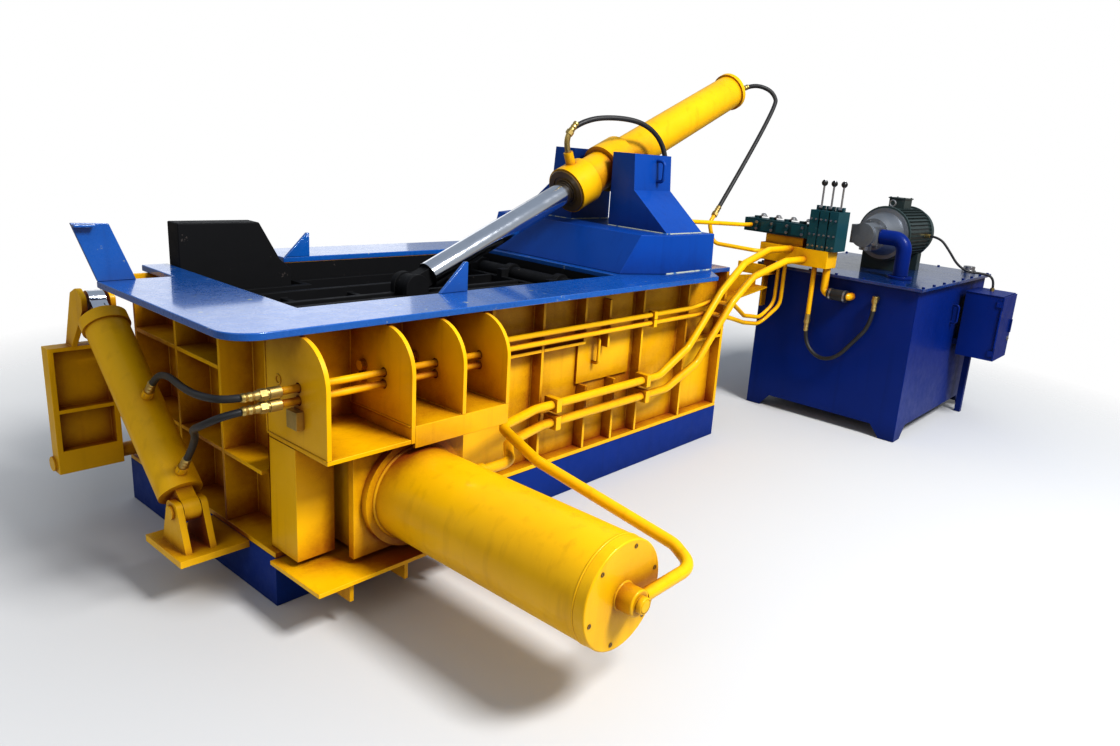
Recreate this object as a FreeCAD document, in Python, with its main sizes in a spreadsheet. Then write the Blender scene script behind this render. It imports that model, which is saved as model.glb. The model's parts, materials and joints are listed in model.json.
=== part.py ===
"""Hydraulic scrap baler: press, discharge door, lid, rams and oil power unit.

Lengths are millimetres.  Everything is laid out from the skid's front left
corner on the floor: +X runs along the press to the power unit, +Y to the back,
+Z up.  Each finished piece is then placed so that the origin is the centre of
the press skid's underside.
"""
import FreeCAD, Part
import math
import os
import re
import Sketcher
from FreeCAD import Placement, Rotation, Vector

doc = FreeCAD.newDocument("scrap_baler")
sheet = doc.addObject("Spreadsheet::Sheet", "Sizes")

SIZES = {
    # skid and chamber
    "skid_length": 2790, "skid_width": 1200, "skid_height": 185,
    "skid_web": 14, "skid_beam": 120, "cross_beam": 40,
    "anchor_inset_x": 150, "anchor_inset_y": 60, "anchor_radius": 14,
    "floor_thick": 20, "wall_thick": 40, "wall_set_back": 60,
    "box_left": 160, "box_length": 1690, "box_width": 1000, "box_front": 100,
    "rim_top": 1035, "rim_thick": 25, "rim_left": 200, "rim_front": 170,
    "rim_right": 2400, "rim_corner": 110, "rim_notch_y": 810, "rim_notch_x": 60,
    "end_wall": 25, "shear_thick": 40,
    # discharge door
    "door_right": 640, "door_front": 1000, "door_thick": 95, "door_top": 1210,
    "door_bottom": 235, "door_gap": 5, "port_right": 660,
    "door_axis_y": 1150, "door_axis_z": 250, "door_shaft": 30,
    "door_pin_y": 996, "door_pin_z": 928, "door_cyl_x": -150,
    "door_cyl_y": 304, "door_cyl_z": 315, "door_barrel": 73, "door_rod": 35,
    "wing_left": -290, "wing_right": -60, "wing_top": 730, "wing_deep": 65,
    # lid and its cylinder
    "lid_bottom": 660, "lid_top": 930, "lid_plate": 30, "lid_rib": 30,
    "lid_left": 195, "lid_right": 1730, "side_gap": 10,
    "lid_axis_x": 1790, "lid_axis_z": 940, "lid_shaft": 40, "knuckle": 55,
    "lid_pin_x": 988, "lid_pin_z": 961, "lug_radius": 62, "eye_thick": 60,
    "trunnion_x": 2350, "trunnion_z": 1560, "trunnion_radius": 45, "trunnion_seat": 120,
    "lid_rod": 60, "lid_barrel": 105, "lid_head": 125,
    "head_reach": 385, "tail_reach": 1286, "lid_wall": 18,
    # crosshead
    "beam_left": 1900, "beam_lean": 100, "beam_right": 2590, "beam_top": 1235,
    "beam_plate": 20, "corner_run": 250, "corner_rise": 110,
    "bracket_left": 2200, "bracket_right": 2530,
    "bracket_top": 1630, "bracket_step": 1440, "bracket_in": 140,
    "bracket_wide": 150, "bracket_foot": 550,
    # rams
    "ram_top": 650, "ram_floor": 8, "main_front": 1700, "main_length": 560,
    "main_plate": 60, "main_side": 40, "main_z": 430, "main_barrel": 160,
    "main_bore": 135, "main_rod": 95, "main_head_x": 1860, "main_tail_x": 3150,
    "side_x": 400, "side_z": 405, "side_barrel": 172, "side_bore": 150,
    "side_rod": 105, "side_end_y": -1207, "side_head_y": -150,
    "side_plate": 120, "side_cap": 45, "mount_front": -215, "mount_thick": 30,
    "side_flange": 205,
    # stiffening
    "rib": 16, "rib_line": 738, "shelf_z": 615, "shelf_step": 45, "gusset_reach": 300,
    "gusset_round": 150,
    # pipes
    "thin_pipe": 13, "thick_pipe": 21, "thin_high": 834, "thin_low": 792,
    "thick_high": 500, "thick_low": 415, "thin_y": -20, "thick_y": -50,
    "hose": 14, "wide_hose": 24, "cable": 8,
    # power unit
    "tank_left": 3600, "tank_length": 1400, "tank_front": -850,
    "tank_width": 1080, "tank_bottom": 80, "tank_top": 970, "tank_wall": 6,
    "cover_thick": 20, "cover_over": 30, "foot_wide": 170,
    "motor_x": 4170, "motor_length": 440, "motor_y": -350, "motor_z": 1240,
    "motor_radius": 175, "bell_length": 190, "pump_length": 170,
    "shaft_radius": 22, "valve_left": 3440, "valve_deep": 130,
    "valve_front": -130, "valve_back": 320, "valve_bottom": 1200,
    "valve_top": 1285, "lever_pitch": 66, "lever_first": -175,
    "box_x": 4440, "box_wide": 320, "box_y": -1130, "box_deep": 240,
    "box_z": 470, "box_high": 440, "box_skin": 3,
    # clearances
    "running": 0.05, "seat": 0.3,
}
for row, (alias, value) in enumerate(SIZES.items(), 1):
    sheet.set(f"A{row}", alias)
    sheet.set(f"B{row}", str(value))
    sheet.setAlias(f"B{row}", alias)
doc.recompute()


def linked(text):
    """A formula of sheet words, as an expression that reads the sheet."""
    return re.sub(r"[a-z][a-z_]*", lambda word: "Sizes." + word.group(0)
                  if word.group(0) in SIZES else word.group(0), str(text))


def number(text):
    """The present value of a formula of sheet words."""
    def value(word):
        name = word.group(0)
        return str(sheet.get(name)) if name in SIZES else name
    total = re.sub(r"[a-z][a-z_]*", value, str(text))
    return FreeCAD.Units.Quantity(total).Value


def add(kind, name):
    return doc.addObject(kind, name)


def bind(obj, **formulas):
    """Tie an object's sizes to the sheet; place_x means Placement.Base.x."""
    for key, text in formulas.items():
        path = key.replace("place_", "Placement.Base.")
        obj.setExpression(path, linked(text))
    return obj


def block(x0, x1, y0, y1, z0, z1):
    """A rectangular bar or plate between six formulas."""
    box = add("Part::Box", "Block")
    return bind(box, Length=f"({x1})-({x0})", Width=f"({y1})-({y0})",
                Height=f"({z1})-({z0})", place_x=x0, place_y=y0, place_z=z0)


AXIS_TURN = {"x": Rotation(Vector(0, 1, 0), 90), "y": Rotation(Vector(1, 0, 0), -90),
             "z": Rotation()}


def drum(axis, start, end, centre, radius):
    """A round bar along an axis; centre gives the two other coordinates."""
    bar = add("Part::Cylinder", "Drum")
    bar.Placement = Placement(Vector(), AXIS_TURN[axis])
    others = [letter for letter in "xyz" if letter != axis]
    places = {f"place_{axis}": start}
    places.update({f"place_{letter}": text for letter, text in zip(others, centre)})
    return bind(bar, Radius=radius, Height=f"({end})-({start})", **places)


def cone(axis, start, end, centre, radius_a, radius_b):
    """A tapered round bar along an axis."""
    bar = add("Part::Cone", "Cone")
    bar.Placement = Placement(Vector(), AXIS_TURN[axis])
    others = [letter for letter in "xyz" if letter != axis]
    places = {f"place_{axis}": start}
    places.update({f"place_{letter}": text for letter, text in zip(others, centre)})
    return bind(bar, Radius1=radius_a, Radius2=radius_b, Height=f"({end})-({start})", **places)


def joined(*shapes):
    whole = add("Part::MultiFuse", "Weldment")
    whole.Shapes = list(shapes)
    return whole


def cut(base, *tools):
    """The base with every tool taken out of it."""
    opening = add("Part::Cut", "Cut")
    opening.Base = base
    opening.Tool = tools[0] if len(tools) == 1 else joined(*tools)
    return opening


def set_of(*shapes):
    """Like pieces that lie apart, kept as separate solids."""
    together = add("Part::Compound", "Set")
    together.Links = list(shapes)
    return together


PLANES = {"z": "XY_Plane", "y": "XZ_Plane", "x": "YZ_Plane"}


def plate(normal, outline, start, end, rounds=None):
    """A plate cut to an outline of formulas and padded along its normal.

    rounds gives a corner's number the radius that it is cut to.
    """
    rounds = rounds or {}
    body = add("PartDesign::Body", "Plate")
    sketch = body.newObject("Sketcher::SketchObject", "Outline")
    plane = [f for f in body.Origin.OriginFeatures if f.Role == PLANES[normal]][0]
    sketch.AttachmentSupport = [(plane, "")]
    sketch.MapMode = "FlatFace"
    spots = [Vector(number(a), number(b), 0) for a, b in outline]
    count = len(spots)
    starts, ends, arcs = [], [], {}
    for i, spot in enumerate(spots):
        before = (spots[i - 1] - spot).normalize()
        after = (spots[(i + 1) % count] - spot).normalize()
        if i in rounds:
            radius = number(rounds[i])
            half = before.getAngle(after) / 2
            reach = radius / math.tan(half)
            centre = spot + (before + after).normalize() * (radius / math.sin(half))
            arcs[i] = (spot + before * reach, centre, spot + after * reach, radius)
            ends.append(spot + before * reach)
            starts.append(spot + after * reach)
        else:
            ends.append(spot)
            starts.append(spot)
    lines = [sketch.addGeometry(Part.LineSegment(starts[i], ends[(i + 1) % count]), False)
             for i in range(count)]
    for i in range(count):
        side_in, side_out = lines[i - 1], lines[i]
        if i in arcs:
            first, centre, last, radius = arcs[i]
            middle = centre + (spots[i] - centre).normalize() * radius
            arc = sketch.addGeometry(Part.Arc(first, middle, last), False)
            mark = sketch.addGeometry(Part.Point(spots[i]), True)
            point = sketch.Geometry[arc].StartPoint
            near = 1 if point.distanceToPoint(first) < 1e-6 else 2
            sketch.addConstraint(Sketcher.Constraint("Tangent", side_in, 2, arc, near))
            sketch.addConstraint(Sketcher.Constraint("Tangent", side_out, 1, arc, 3 - near))
            sketch.addConstraint(Sketcher.Constraint("PointOnObject", mark, 1, side_in))
            sketch.addConstraint(Sketcher.Constraint("PointOnObject", mark, 1, side_out))
            place = (mark, 1)
            turn = sketch.addConstraint(Sketcher.Constraint("Radius", arc, radius))
            sketch.setExpression(f"Constraints[{turn}]", linked(rounds[i]))
        else:
            sketch.addConstraint(Sketcher.Constraint("Coincident", side_in, 2, side_out, 1))
            place = (side_out, 1)
        for kind, value, text in (("DistanceX", spots[i].x, outline[i][0]),
                                  ("DistanceY", spots[i].y, outline[i][1])):
            at = sketch.addConstraint(Sketcher.Constraint(kind, *place, value))
            sketch.setExpression(f"Constraints[{at}]", linked(text))
    pad = body.newObject("PartDesign::Pad", "Thickness")
    pad.Profile = sketch
    pad.Reversed = normal == "y"
    pad.setExpression("Length", linked(f"({end})-({start})"))
    body.setExpression(f"Placement.Base.{normal}", linked(start))
    return body


def tube_path(points, share=0.45, radius=None):
    """Straight runs joined by tangent arcs, through a hand-laid route."""
    spots = [Vector(*p) for p in points]
    edges, here, radii = [], spots[0], []
    for i in range(1, len(spots) - 1):
        back, ahead = spots[i - 1] - spots[i], spots[i + 1] - spots[i]
        shorter = min(back.Length, ahead.Length)
        back.normalize()
        ahead.normalize()
        half = back.getAngle(ahead) / 2
        bend = share * shorter * math.tan(half)
        if radius:
            bend = min(bend, radius)
        reach = bend / math.tan(half)
        centre = spots[i] + (back + ahead).normalize() * (bend / math.sin(half))
        first, last = spots[i] + back * reach, spots[i] + ahead * reach
        middle = centre + (spots[i] - centre).normalize() * bend
        if first.distanceToPoint(here) > 1e-6:
            edges.append(Part.LineSegment(here, first).toShape())
        edges.append(Part.Arc(first, middle, last).toShape())
        here = last
        radii.append(bend)
    edges.append(Part.LineSegment(here, spots[-1]).toShape())
    return Part.Wire(edges), radii


def pipe(points, radius, bend=None, hose=False):
    """A round pipe or hose along a route of millimetre points."""
    path, radii = tube_path(points, radius=bend)
    size = number(radius)
    start = (Vector(*points[1]) - Vector(*points[0])).normalize()
    ring = Part.Wire(Part.Circle(Vector(*points[0]), start, size).toShape())
    solid = path.makePipeShell([ring], True, False)
    drift = abs(solid.Volume / (math.pi * size ** 2 * path.Length) - 1)
    if hose:
        print(f"  hose r{size:g}: length {path.Length:.0f}, bends from {min(radii):.0f}, "
              f"volume off by {drift:.4f}")
    feature = add("Part::Feature", "Pipe")
    feature.Shape = solid
    return feature


pieces = {}


def piece(label, shape):
    """Name a finished piece and move it to the part's own origin."""
    final = add("Part::Compound", "Piece")
    final.Links = [shape]
    final.Label = label
    bind(final, place_x="-skid_length/2", place_y="-skid_width/2")
    pieces[label] = final
    return final


def mirrored(y):
    """A formula's twin on the other side of the press."""
    return f"skid_width-({y})"


# --- Skid: two channel beams between bar cross members -----------------------
def channel(web_y, lip_y):
    """A skid beam, web outside and flanges turned inwards."""
    turn = 1 if lip_y == "in" else -1
    y = [web_y, f"{web_y}+{turn}*skid_web", f"{web_y}+{turn}*skid_beam"]
    profile = [(y[0], "0"), (y[2], "0"), (y[2], "skid_web"), (y[1], "skid_web"),
               (y[1], "skid_height-skid_web"), (y[2], "skid_height-skid_web"),
               (y[2], "skid_height"), (y[0], "skid_height")]
    beam = plate("x", profile, "cross_beam", "skid_length-cross_beam")
    y_hole = f"{web_y}+{turn}*anchor_inset_y"
    holes = [drum("z", "-1", "skid_web+1", (x, y_hole), "anchor_radius")
             for x in ("anchor_inset_x", "skid_length-anchor_inset_x")]
    return cut(beam, *holes)


end_members = [block(x, f"{x}+cross_beam", "0", "skid_width", "0", "skid_height")
               for x in ("0", "skid_length-cross_beam")]
inner_members = [block(f"skid_length*{i}/4-cross_beam/2", f"skid_length*{i}/4+cross_beam/2",
                       "skid_beam", "skid_width-skid_beam", "0", "skid_height")
                 for i in (1, 2, 3)]
piece("skid_frame", set_of(channel("0", "in"), channel("skid_width", "out"),
                           *end_members, *inner_members))
FLOOR = "skid_height+floor_thick"
piece("floor_plate", block("0", "skid_length", "0", "skid_width", "skid_height", FLOOR))

# --- Chamber walls -----------------------------------------------------------
WALL_TOP = "rim_top-rim_thick"
WALL_END = "skid_length-end_wall"
BOX_BACK = "box_front+box_width"
lid_bores = [drum("y", start, f"{start}+wall_thick+2", ("lid_axis_x", "lid_axis_z"),
                  "lid_shaft+running")
             for start in ("wall_set_back-1", f"{BOX_BACK}-1")]
front = block("box_left", WALL_END, "wall_set_back", "box_front", FLOOR, WALL_TOP)
rod_hole = drum("y", "wall_set_back-1", "box_front+1", ("side_x", "side_z"), "side_rod+side_gap")
piece("front_wall", cut(front, rod_hole, lid_bores[0]))
rear = block("port_right", WALL_END, BOX_BACK, f"{BOX_BACK}+wall_thick", FLOOR, WALL_TOP)
piece("rear_wall", cut(rear, lid_bores[1]))
piece("left_wall", block("box_left-wall_thick", "box_left", "wall_set_back", BOX_BACK,
                         FLOOR, WALL_TOP))
end_plate = block(WALL_END, "skid_length", "0", "skid_width", FLOOR, WALL_TOP)
piece("right_end_wall", cut(end_plate, drum("x", f"{WALL_END}-1", "skid_length+1",
                                            ("skid_width/2", "main_z"), "main_barrel+running")))
BOX_RIGHT = "box_left+box_length"
piece("shear_beam", block(BOX_RIGHT, f"{BOX_RIGHT}+shear_thick", "box_front", BOX_BACK,
                          "ram_top+seat*10", WALL_TOP))

# --- Rim: one blue plate, open over the box and at the discharge port --------
rim_outline = [("-rim_left", "-rim_front"), ("rim_right", "-rim_front"),
               ("rim_right+rim_front", "0"), ("skid_length", "0"),
               ("skid_length", "skid_width"), ("rim_right+rim_front", "skid_width"),
               ("rim_right", mirrored("-rim_front")), ("port_right", mirrored("-rim_front")),
               ("port_right", BOX_BACK), (BOX_RIGHT, BOX_BACK),
               (BOX_RIGHT, "box_front"), ("box_left", "box_front"),
               ("box_left", BOX_BACK), ("rim_notch_x", BOX_BACK),
               ("rim_notch_x", "rim_notch_y"), ("-rim_left", "rim_notch_y")]
piece("rim_plate", plate("z", rim_outline, WALL_TOP, "rim_top", {0: "rim_corner"}))
front_ear = plate("y", [("750", "rim_top"), ("890", "rim_top"), ("890", "rim_top+120"),
                        ("875", "rim_top+120")], "box_front-16", "box_front")
rear_ear = plate("y", [("670", "rim_top"), ("790", "rim_top"), ("790", "rim_top+110"),
                       ("778", "rim_top+110")], BOX_BACK, f"{BOX_BACK}+16")
guard = plate("y", [("-rim_left", "rim_top"), ("-75", "rim_top"), ("-150", "rim_top+205"),
                    ("-268", "rim_top+208"), ("-262", "rim_top+190")],
              "rim_notch_y-14", "rim_notch_y-2")
guard_flange = block("-268", "-200", "rim_notch_y-44", "rim_notch_y-14",
                     "rim_top+196", "rim_top+205")
piece("rim_guards", set_of(front_ear, rear_ear, guard, guard_flange))

# --- Crosshead beam and the two trunnion brackets ----------------------------
def beam_prism(inset, front_y, back_y, base):
    outline = [(f"beam_left+{inset}", base), (f"beam_left+beam_lean+{inset}", f"beam_top-{inset}"),
               (f"beam_right-10-{inset}", f"beam_top-{inset}"), (f"beam_right-{inset}", base)]
    return plate("y", outline, front_y, back_y)


beam = beam_prism("0", "0", "skid_width", "rim_top")
beam_room = beam_prism("beam_plate", "beam_plate", "skid_width-beam_plate", "rim_top-1")


def beam_corners(grow):
    """Prisms that slant the beam's two left corners, moved inwards by grow."""
    run = f"beam_left+corner_run+{grow}*2.47"
    rise = f"corner_rise+{grow}*1.09"
    return [plate("z", [("beam_left-1", side), (run, side), ("beam_left-1", end)],
                  "rim_top-2", "beam_top+1")
            for side, end in (("-1", rise), ("skid_width+1", mirrored(rise)))]


beam_hollow = cut(beam_room, *beam_corners("beam_plate"))
piece("crosshead_beam", cut(beam, beam_hollow, *beam_corners("0")))


def bracket(side):
    """One trunnion bracket with its lifting loop; side is -1 front, 1 rear."""
    middle = "skid_width/2"
    inner = f"{middle}+{side}*bracket_in"
    outer = f"{middle}+{side}*(bracket_in+bracket_wide)"
    foot = f"{middle}+{side}*bracket_foot"
    outline = [(inner, "beam_top"), (inner, "bracket_top"), (outer, "bracket_top"),
               (f"{outer}+{side}*15", "bracket_step"), (foot, "beam_top")]
    cheek = plate("x", outline, "bracket_left", "bracket_right")
    low = f"{middle}-bracket_in-trunnion_seat" if side < 0 else f"{middle}+bracket_in-1"
    high = f"{middle}-bracket_in+1" if side < 0 else f"{middle}+bracket_in+trunnion_seat"
    bore = drum("y", low, high, ("trunnion_x", "trunnion_z"), "trunnion_radius+running")
    return cut(cheek, bore)


def loop(x, y, z, side, tall=110, deep=55, radius=9):
    """A bent round bar welded on by its two ends."""
    spots = [(x, y, z + tall / 2), (x, y + side * deep, z + tall / 2),
             (x, y + side * deep, z - tall / 2), (x, y, z - tall / 2)]
    return pipe(spots, radius, bend=deep * 0.6)


bracket_face = number("skid_width/2-bracket_in-bracket_wide")
piece("trunnion_brackets", set_of(
    joined(bracket(-1), loop(2400, bracket_face, 1545, -1)),
    joined(bracket(1), loop(2400, number("skid_width") - bracket_face, 1545, 1))))

# --- Stiffening ribs ---------------------------------------------------------
FULL_RIBS = (1256, 1985, 2387)
UPPER_RIBS = (955, 1535)
LOWER_RIBS = (1570, 1785)
front_bars = []
for x in FULL_RIBS:
    front_bars.append(block(x, f"{x}+rib", "0", "wall_set_back", FLOOR, WALL_TOP))
for x in UPPER_RIBS:
    front_bars.append(block(x, f"{x}+rib", "0", "wall_set_back", "rib_line+rib", WALL_TOP))
for x in LOWER_RIBS:
    front_bars.append(block(x, f"{x}+rib", "0", "wall_set_back", FLOOR, "thick_high+27"))
panel = block("1535+rib", "1950", "wall_set_back-14", "wall_set_back", "thick_high+27", WALL_TOP)
panel_lip = block("1715", "1715+rib", "0", "wall_set_back-14", "700", "940")
front_bars += [panel, panel_lip]
line_spans = ((800, 955), (955, 1256), ("1256+rib", "1535+rib"))
for left, right in line_spans:
    front_bars.append(block(left, right, "0", "wall_set_back", "rib_line", "rib_line+rib"))
front_bars.append(block("2387+rib", WALL_END, "0", "wall_set_back", "620", "620+rib"))
front_bars.append(loop(1660, number("wall_set_back-14"), 690, -1, tall=130, deep=38, radius=8))
piece("front_ribs", set_of(*front_bars))

rear_bars = []
for i in range(7):
    x = f"port_right+60+{i}*330"
    rear_bars.append(block(x, f"{x}+rib", f"{BOX_BACK}+wall_thick", "skid_width", FLOOR, WALL_TOP))
for i in range(6):
    x = f"port_right+60+rib+{i}*330"
    rear_bars.append(block(x, f"{x}+330-rib", f"{BOX_BACK}+wall_thick", "skid_width",
                           "rib_line", "rib_line+rib"))

END_RIBS = (340, 680, 1040)
end_bars = []
for y in END_RIBS:
    end_bars.append(block("0", "box_left-wall_thick", y, f"{y}+rib", FLOOR, WALL_TOP))
for low, high in ((f"{END_RIBS[0]}+rib", END_RIBS[1]), (f"{END_RIBS[1]}+rib", END_RIBS[2])):
    end_bars.append(block("0", "box_left-wall_thick", low, high, "780", "780+rib"))
for low, high in (("wall_set_back+rib", END_RIBS[0]), (f"{END_RIBS[0]}+rib", END_RIBS[1]),
                  (f"{END_RIBS[1]}+rib", END_RIBS[2])):
    end_bars.append(block("0", "box_left-wall_thick", low, high, "470", "470+rib"))
piece("rear_and_end_ribs", set_of(*rear_bars, *end_bars))

# --- Rounded side gussets, their shelf and the front corner post -------------
GUSSETS = (20, 335, 555, 765)
HIGH_SHELF = "shelf_z+shelf_step"
gusset_plates = []
for x, low in zip(GUSSETS, ("shelf_z+rib", "shelf_z", f"{HIGH_SHELF}+rib", f"{HIGH_SHELF}+rib")):
    outline = [("wall_set_back", low), ("wall_set_back", WALL_TOP),
               ("-rim_front+40", WALL_TOP), ("-gusset_reach", f"{WALL_TOP}-30"),
               ("-gusset_reach", low)]
    shape = plate("x", outline, x, f"{x}+rib", {3: "gusset_round"})
    passages = [drum("x", f"{x}-1", f"{x}+rib+1", ("thin_y-120", z), "thin_pipe+4")
                for z in ("thin_high", "thin_low")]
    gusset_plates.append(cut(shape, *passages))
piece("side_gussets", set_of(*gusset_plates))
low_shelf = block(GUSSETS[0], GUSSETS[1], "-gusset_reach", "wall_set_back",
                  "shelf_z", "shelf_z+rib")
high_shelf = joined(
    block(f"{GUSSETS[1]}+rib", f"{GUSSETS[3]}+rib", "-gusset_reach", "wall_set_back",
          HIGH_SHELF, f"{HIGH_SHELF}+rib"),
    block(f"{GUSSETS[1]}+rib", f"{GUSSETS[3]}+rib", "-gusset_reach", "-gusset_reach+rib",
          f"{HIGH_SHELF}-65", HIGH_SHELF))
POST_RIGHT = "box_left-wall_thick+40"
post = cut(block(GUSSETS[0], POST_RIGHT, "-110", "wall_set_back", FLOOR, "shelf_z"),
           block(f"{GUSSETS[0]}+rib", f"{POST_RIGHT}+1", "-110+rib", "wall_set_back+1",
                 f"{FLOOR}-1", "shelf_z+1"))
piece("gusset_shelf", set_of(low_shelf, high_shelf, post))

# --- Side cylinder: mount, barrel, end cap, rod and ram ----------------------
mount_face = block("side_x-235", "side_x+235", "mount_front", "mount_front+mount_thick",
                   FLOOR, "shelf_z")
mount_cheeks = [block(f"side_x+{sx}", f"side_x+{sx}+30", "mount_front+mount_thick",
                      "wall_set_back", FLOOR, "shelf_z") for sx in (-195, 175)]
mount_bore = drum("y", "mount_front-1", "wall_set_back+1", ("side_x", "side_z"), "side_barrel+running")
slopes = [plate("y", [(f"side_x+{a}", FLOOR), (f"side_x+{b}", FLOOR), (f"side_x+{a}", "470")],
                "mount_front+mount_thick", "mount_front+mount_thick+rib")
          for a, b in ((-195, -260), (205, 270))]
mount_floor = block("-20", "side_x+240", "mount_front-90", "0", "skid_height-rib", "skid_height")
mount_webs = [block(f"{x}", f"{x}+rib", "mount_front-60", "0", "90", "skid_height-rib")
              for x in (110, 330, 500)]
piece("side_cylinder_mount", set_of(cut(joined(mount_face, *mount_cheeks), mount_bore),
                                    joined(mount_floor, *mount_webs)))
S_AXIS = ("side_x", "side_z")
side_shell = joined(drum("y", "side_end_y+side_cap", "side_head_y", S_AXIS, "side_barrel"),
                    drum("y", "mount_front-28", "mount_front", S_AXIS, "side_flange"),
                    drum("x", "side_x", "662", ("-300", "430"), "30"))
side_room = drum("y", "side_end_y+side_cap-1", "side_head_y-60", S_AXIS, "side_bore")
side_neck = drum("y", "side_head_y-61", "side_head_y+1", S_AXIS, "side_rod+running")
piece("side_barrel", cut(side_shell, side_room, side_neck))
piece("side_end_cap", joined(
    drum("y", "side_end_y", "side_end_y+side_cap", S_AXIS, "side_barrel"),
    drum("y", "side_end_y-62", "side_end_y", S_AXIS, "42"),
    drum("y", "side_end_y-84", "side_end_y-62", S_AXIS, "22")))
RAM_LOW = f"{FLOOR}+ram_floor"
side_back = "box_front+side_gap"
piece("side_rod", joined(
    drum("y", "side_end_y+side_cap+25", "side_end_y+side_cap+145", S_AXIS, "side_bore-running"),
    drum("y", "side_end_y+side_cap+145", side_back, S_AXIS, "side_rod")))
piece("side_ram", block("box_left+5", "door_right", side_back, f"{side_back}+side_plate",
                        RAM_LOW, "ram_top"))

# --- Main cylinder and ram ---------------------------------------------------
M_AXIS = ("skid_width/2", "main_z")
main_shell = joined(drum("x", "main_head_x", "main_tail_x", M_AXIS, "main_barrel"),
                    drum("x", "skid_length", "skid_length+35", M_AXIS, "main_barrel+50"))
main_room = drum("x", "main_head_x+60", "main_tail_x-50", M_AXIS, "main_bore")
main_neck = drum("x", "main_head_x-1", "main_head_x+61", M_AXIS, "main_rod+running")
piece("main_barrel", cut(main_shell, main_room, main_neck))
piece("main_rod", joined(
    drum("x", "main_front+main_plate", "main_tail_x-170", M_AXIS, "main_rod"),
    drum("x", "main_tail_x-170", "main_tail_x-70", M_AXIS, "main_bore-running")))
ram_sides = ("box_front+side_gap", f"{BOX_BACK}-side_gap")
ram_shell = block("main_front", "main_front+main_length", *ram_sides, RAM_LOW, "ram_top")
ram_room = block("main_front+main_plate", "main_front+main_length+1",
                 f"{ram_sides[0]}+main_side", f"{ram_sides[1]}-main_side",
                 f"{FLOOR}-1", "ram_top-main_side")
piece("main_ram", cut(ram_shell, ram_room))

# --- Lid: pressing plate, walls and ribs, hung on its shaft ------------------
NEAR, FAR = "box_front+side_gap", f"{BOX_BACK}-side_gap"
NOTCH_X, NOTCH_Y = "door_right+45", "door_front-15"
lid_outline = [("lid_left", NEAR), ("lid_right", NEAR), ("lid_right", FAR), (NOTCH_X, FAR),
               (NOTCH_X, NOTCH_Y), ("lid_left", NOTCH_Y)]
lid_low, lid_mid = "lid_bottom", "lid_bottom+lid_plate"
lid_parts = [plate("z", lid_outline, lid_low, lid_mid)]
lid_parts += [
    block("lid_left", "lid_right", NEAR, f"{NEAR}+lid_rib", lid_low, "lid_top"),
    block(NOTCH_X, "lid_right", f"{FAR}-lid_rib", FAR, lid_low, "lid_top"),
    block("lid_left", NOTCH_X, f"{NOTCH_Y}-lid_rib", NOTCH_Y, lid_low, "lid_top"),
    block(NOTCH_X, f"{NOTCH_X}+lid_rib", f"{NOTCH_Y}-lid_rib", FAR, lid_low, "lid_top"),
    block("lid_left", "lid_left+lid_rib", NEAR, NOTCH_Y, lid_low, "lid_top"),
    block("lid_right-lid_rib", "lid_right", NEAR, FAR, lid_low, "lid_top")]
EYE_HALF = "(eye_thick/2+1)"
rib_faces = ((f"skid_width/2-{EYE_HALF}-lid_rib", f"skid_width/2-{EYE_HALF}"),
             (f"skid_width/2+{EYE_HALF}", f"skid_width/2+{EYE_HALF}+lid_rib"))
for low, high in rib_faces:
    lid_parts.append(block("lid_left", "lid_right", low, high, lid_low, "lid_top"))
    lid_parts.append(block("lid_pin_x-lug_radius", "lid_pin_x+lug_radius", low, high,
                           "lid_top-1", "lid_pin_z"))
    lid_parts.append(drum("y", low, high, ("lid_pin_x", "lid_pin_z"), "lug_radius"))
for y in ("box_front+230", f"{BOX_BACK}-260"):
    lid_parts.append(block("lid_left", "lid_right", y, f"{y}+lid_rib", lid_low, "lid_top"))
for x in ("500", "820", "1160", "1440"):
    lid_parts.append(block(x, f"{x}+lid_rib", NEAR, rib_faces[0][0], lid_low, "lid_top-25"))
    lid_parts.append(block(x, f"{x}+lid_rib", rib_faces[1][1], NOTCH_Y, lid_low, "lid_top-25"))
for y in ("box_front+50", "box_front+300", f"{BOX_BACK}-340", f"{BOX_BACK}-90"):
    lid_parts.append(block("lid_right-lid_rib", "lid_axis_x", y, f"{y}+lid_rib+10",
                           "lid_axis_z-knuckle", "lid_top+40"))
    lid_parts.append(drum("y", y, f"{y}+lid_rib+10", ("lid_axis_x", "lid_axis_z"), "knuckle"))
shaft_way = drum("y", NEAR, FAR, ("lid_axis_x", "lid_axis_z"), "lid_shaft+running")
lid_whole = cut(joined(*lid_parts), shaft_way)
# the box section beside the door notch is welded to the back of the main frame
lid_reach_x, lid_reach_z = "lid_axis_x+knuckle+1", "lid_pin_z+lug_radius+knuckle"
behind_notch = block("lid_left-1", lid_reach_x, NOTCH_Y, f"{FAR}+1", "lid_bottom-1", lid_reach_z)
before_notch = block("lid_left-1", lid_reach_x, f"{NEAR}-1", NOTCH_Y, "lid_bottom-1",
                     lid_reach_z)
piece("lid_frame", set_of(cut(lid_whole, behind_notch), cut(lid_whole, before_notch)))
piece("lid_shaft", drum("y", "wall_set_back+2", f"{BOX_BACK}+wall_thick-2",
                        ("lid_axis_x", "lid_axis_z"), "lid_shaft"))

# --- Lid cylinder: built along +X from the trunnion, then tilted -------------
dx, dz = number("trunnion_x-lid_pin_x"), number("trunnion_z-lid_pin_z")
lid_reach = math.hypot(dx, dz)
lid_tilt = Placement(Vector(number("trunnion_x"), number("skid_width/2"), number("trunnion_z")),
                     Rotation(Vector(0, 1, 0), -math.degrees(math.atan2(dz, dx))))


def tilted(shape, placement):
    """Turn a piece built along +X to lie on its cylinder's line."""
    holder = add("Part::Compound", "Tilted")
    holder.Links = [shape]
    holder.Placement = placement
    return holder


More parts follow.
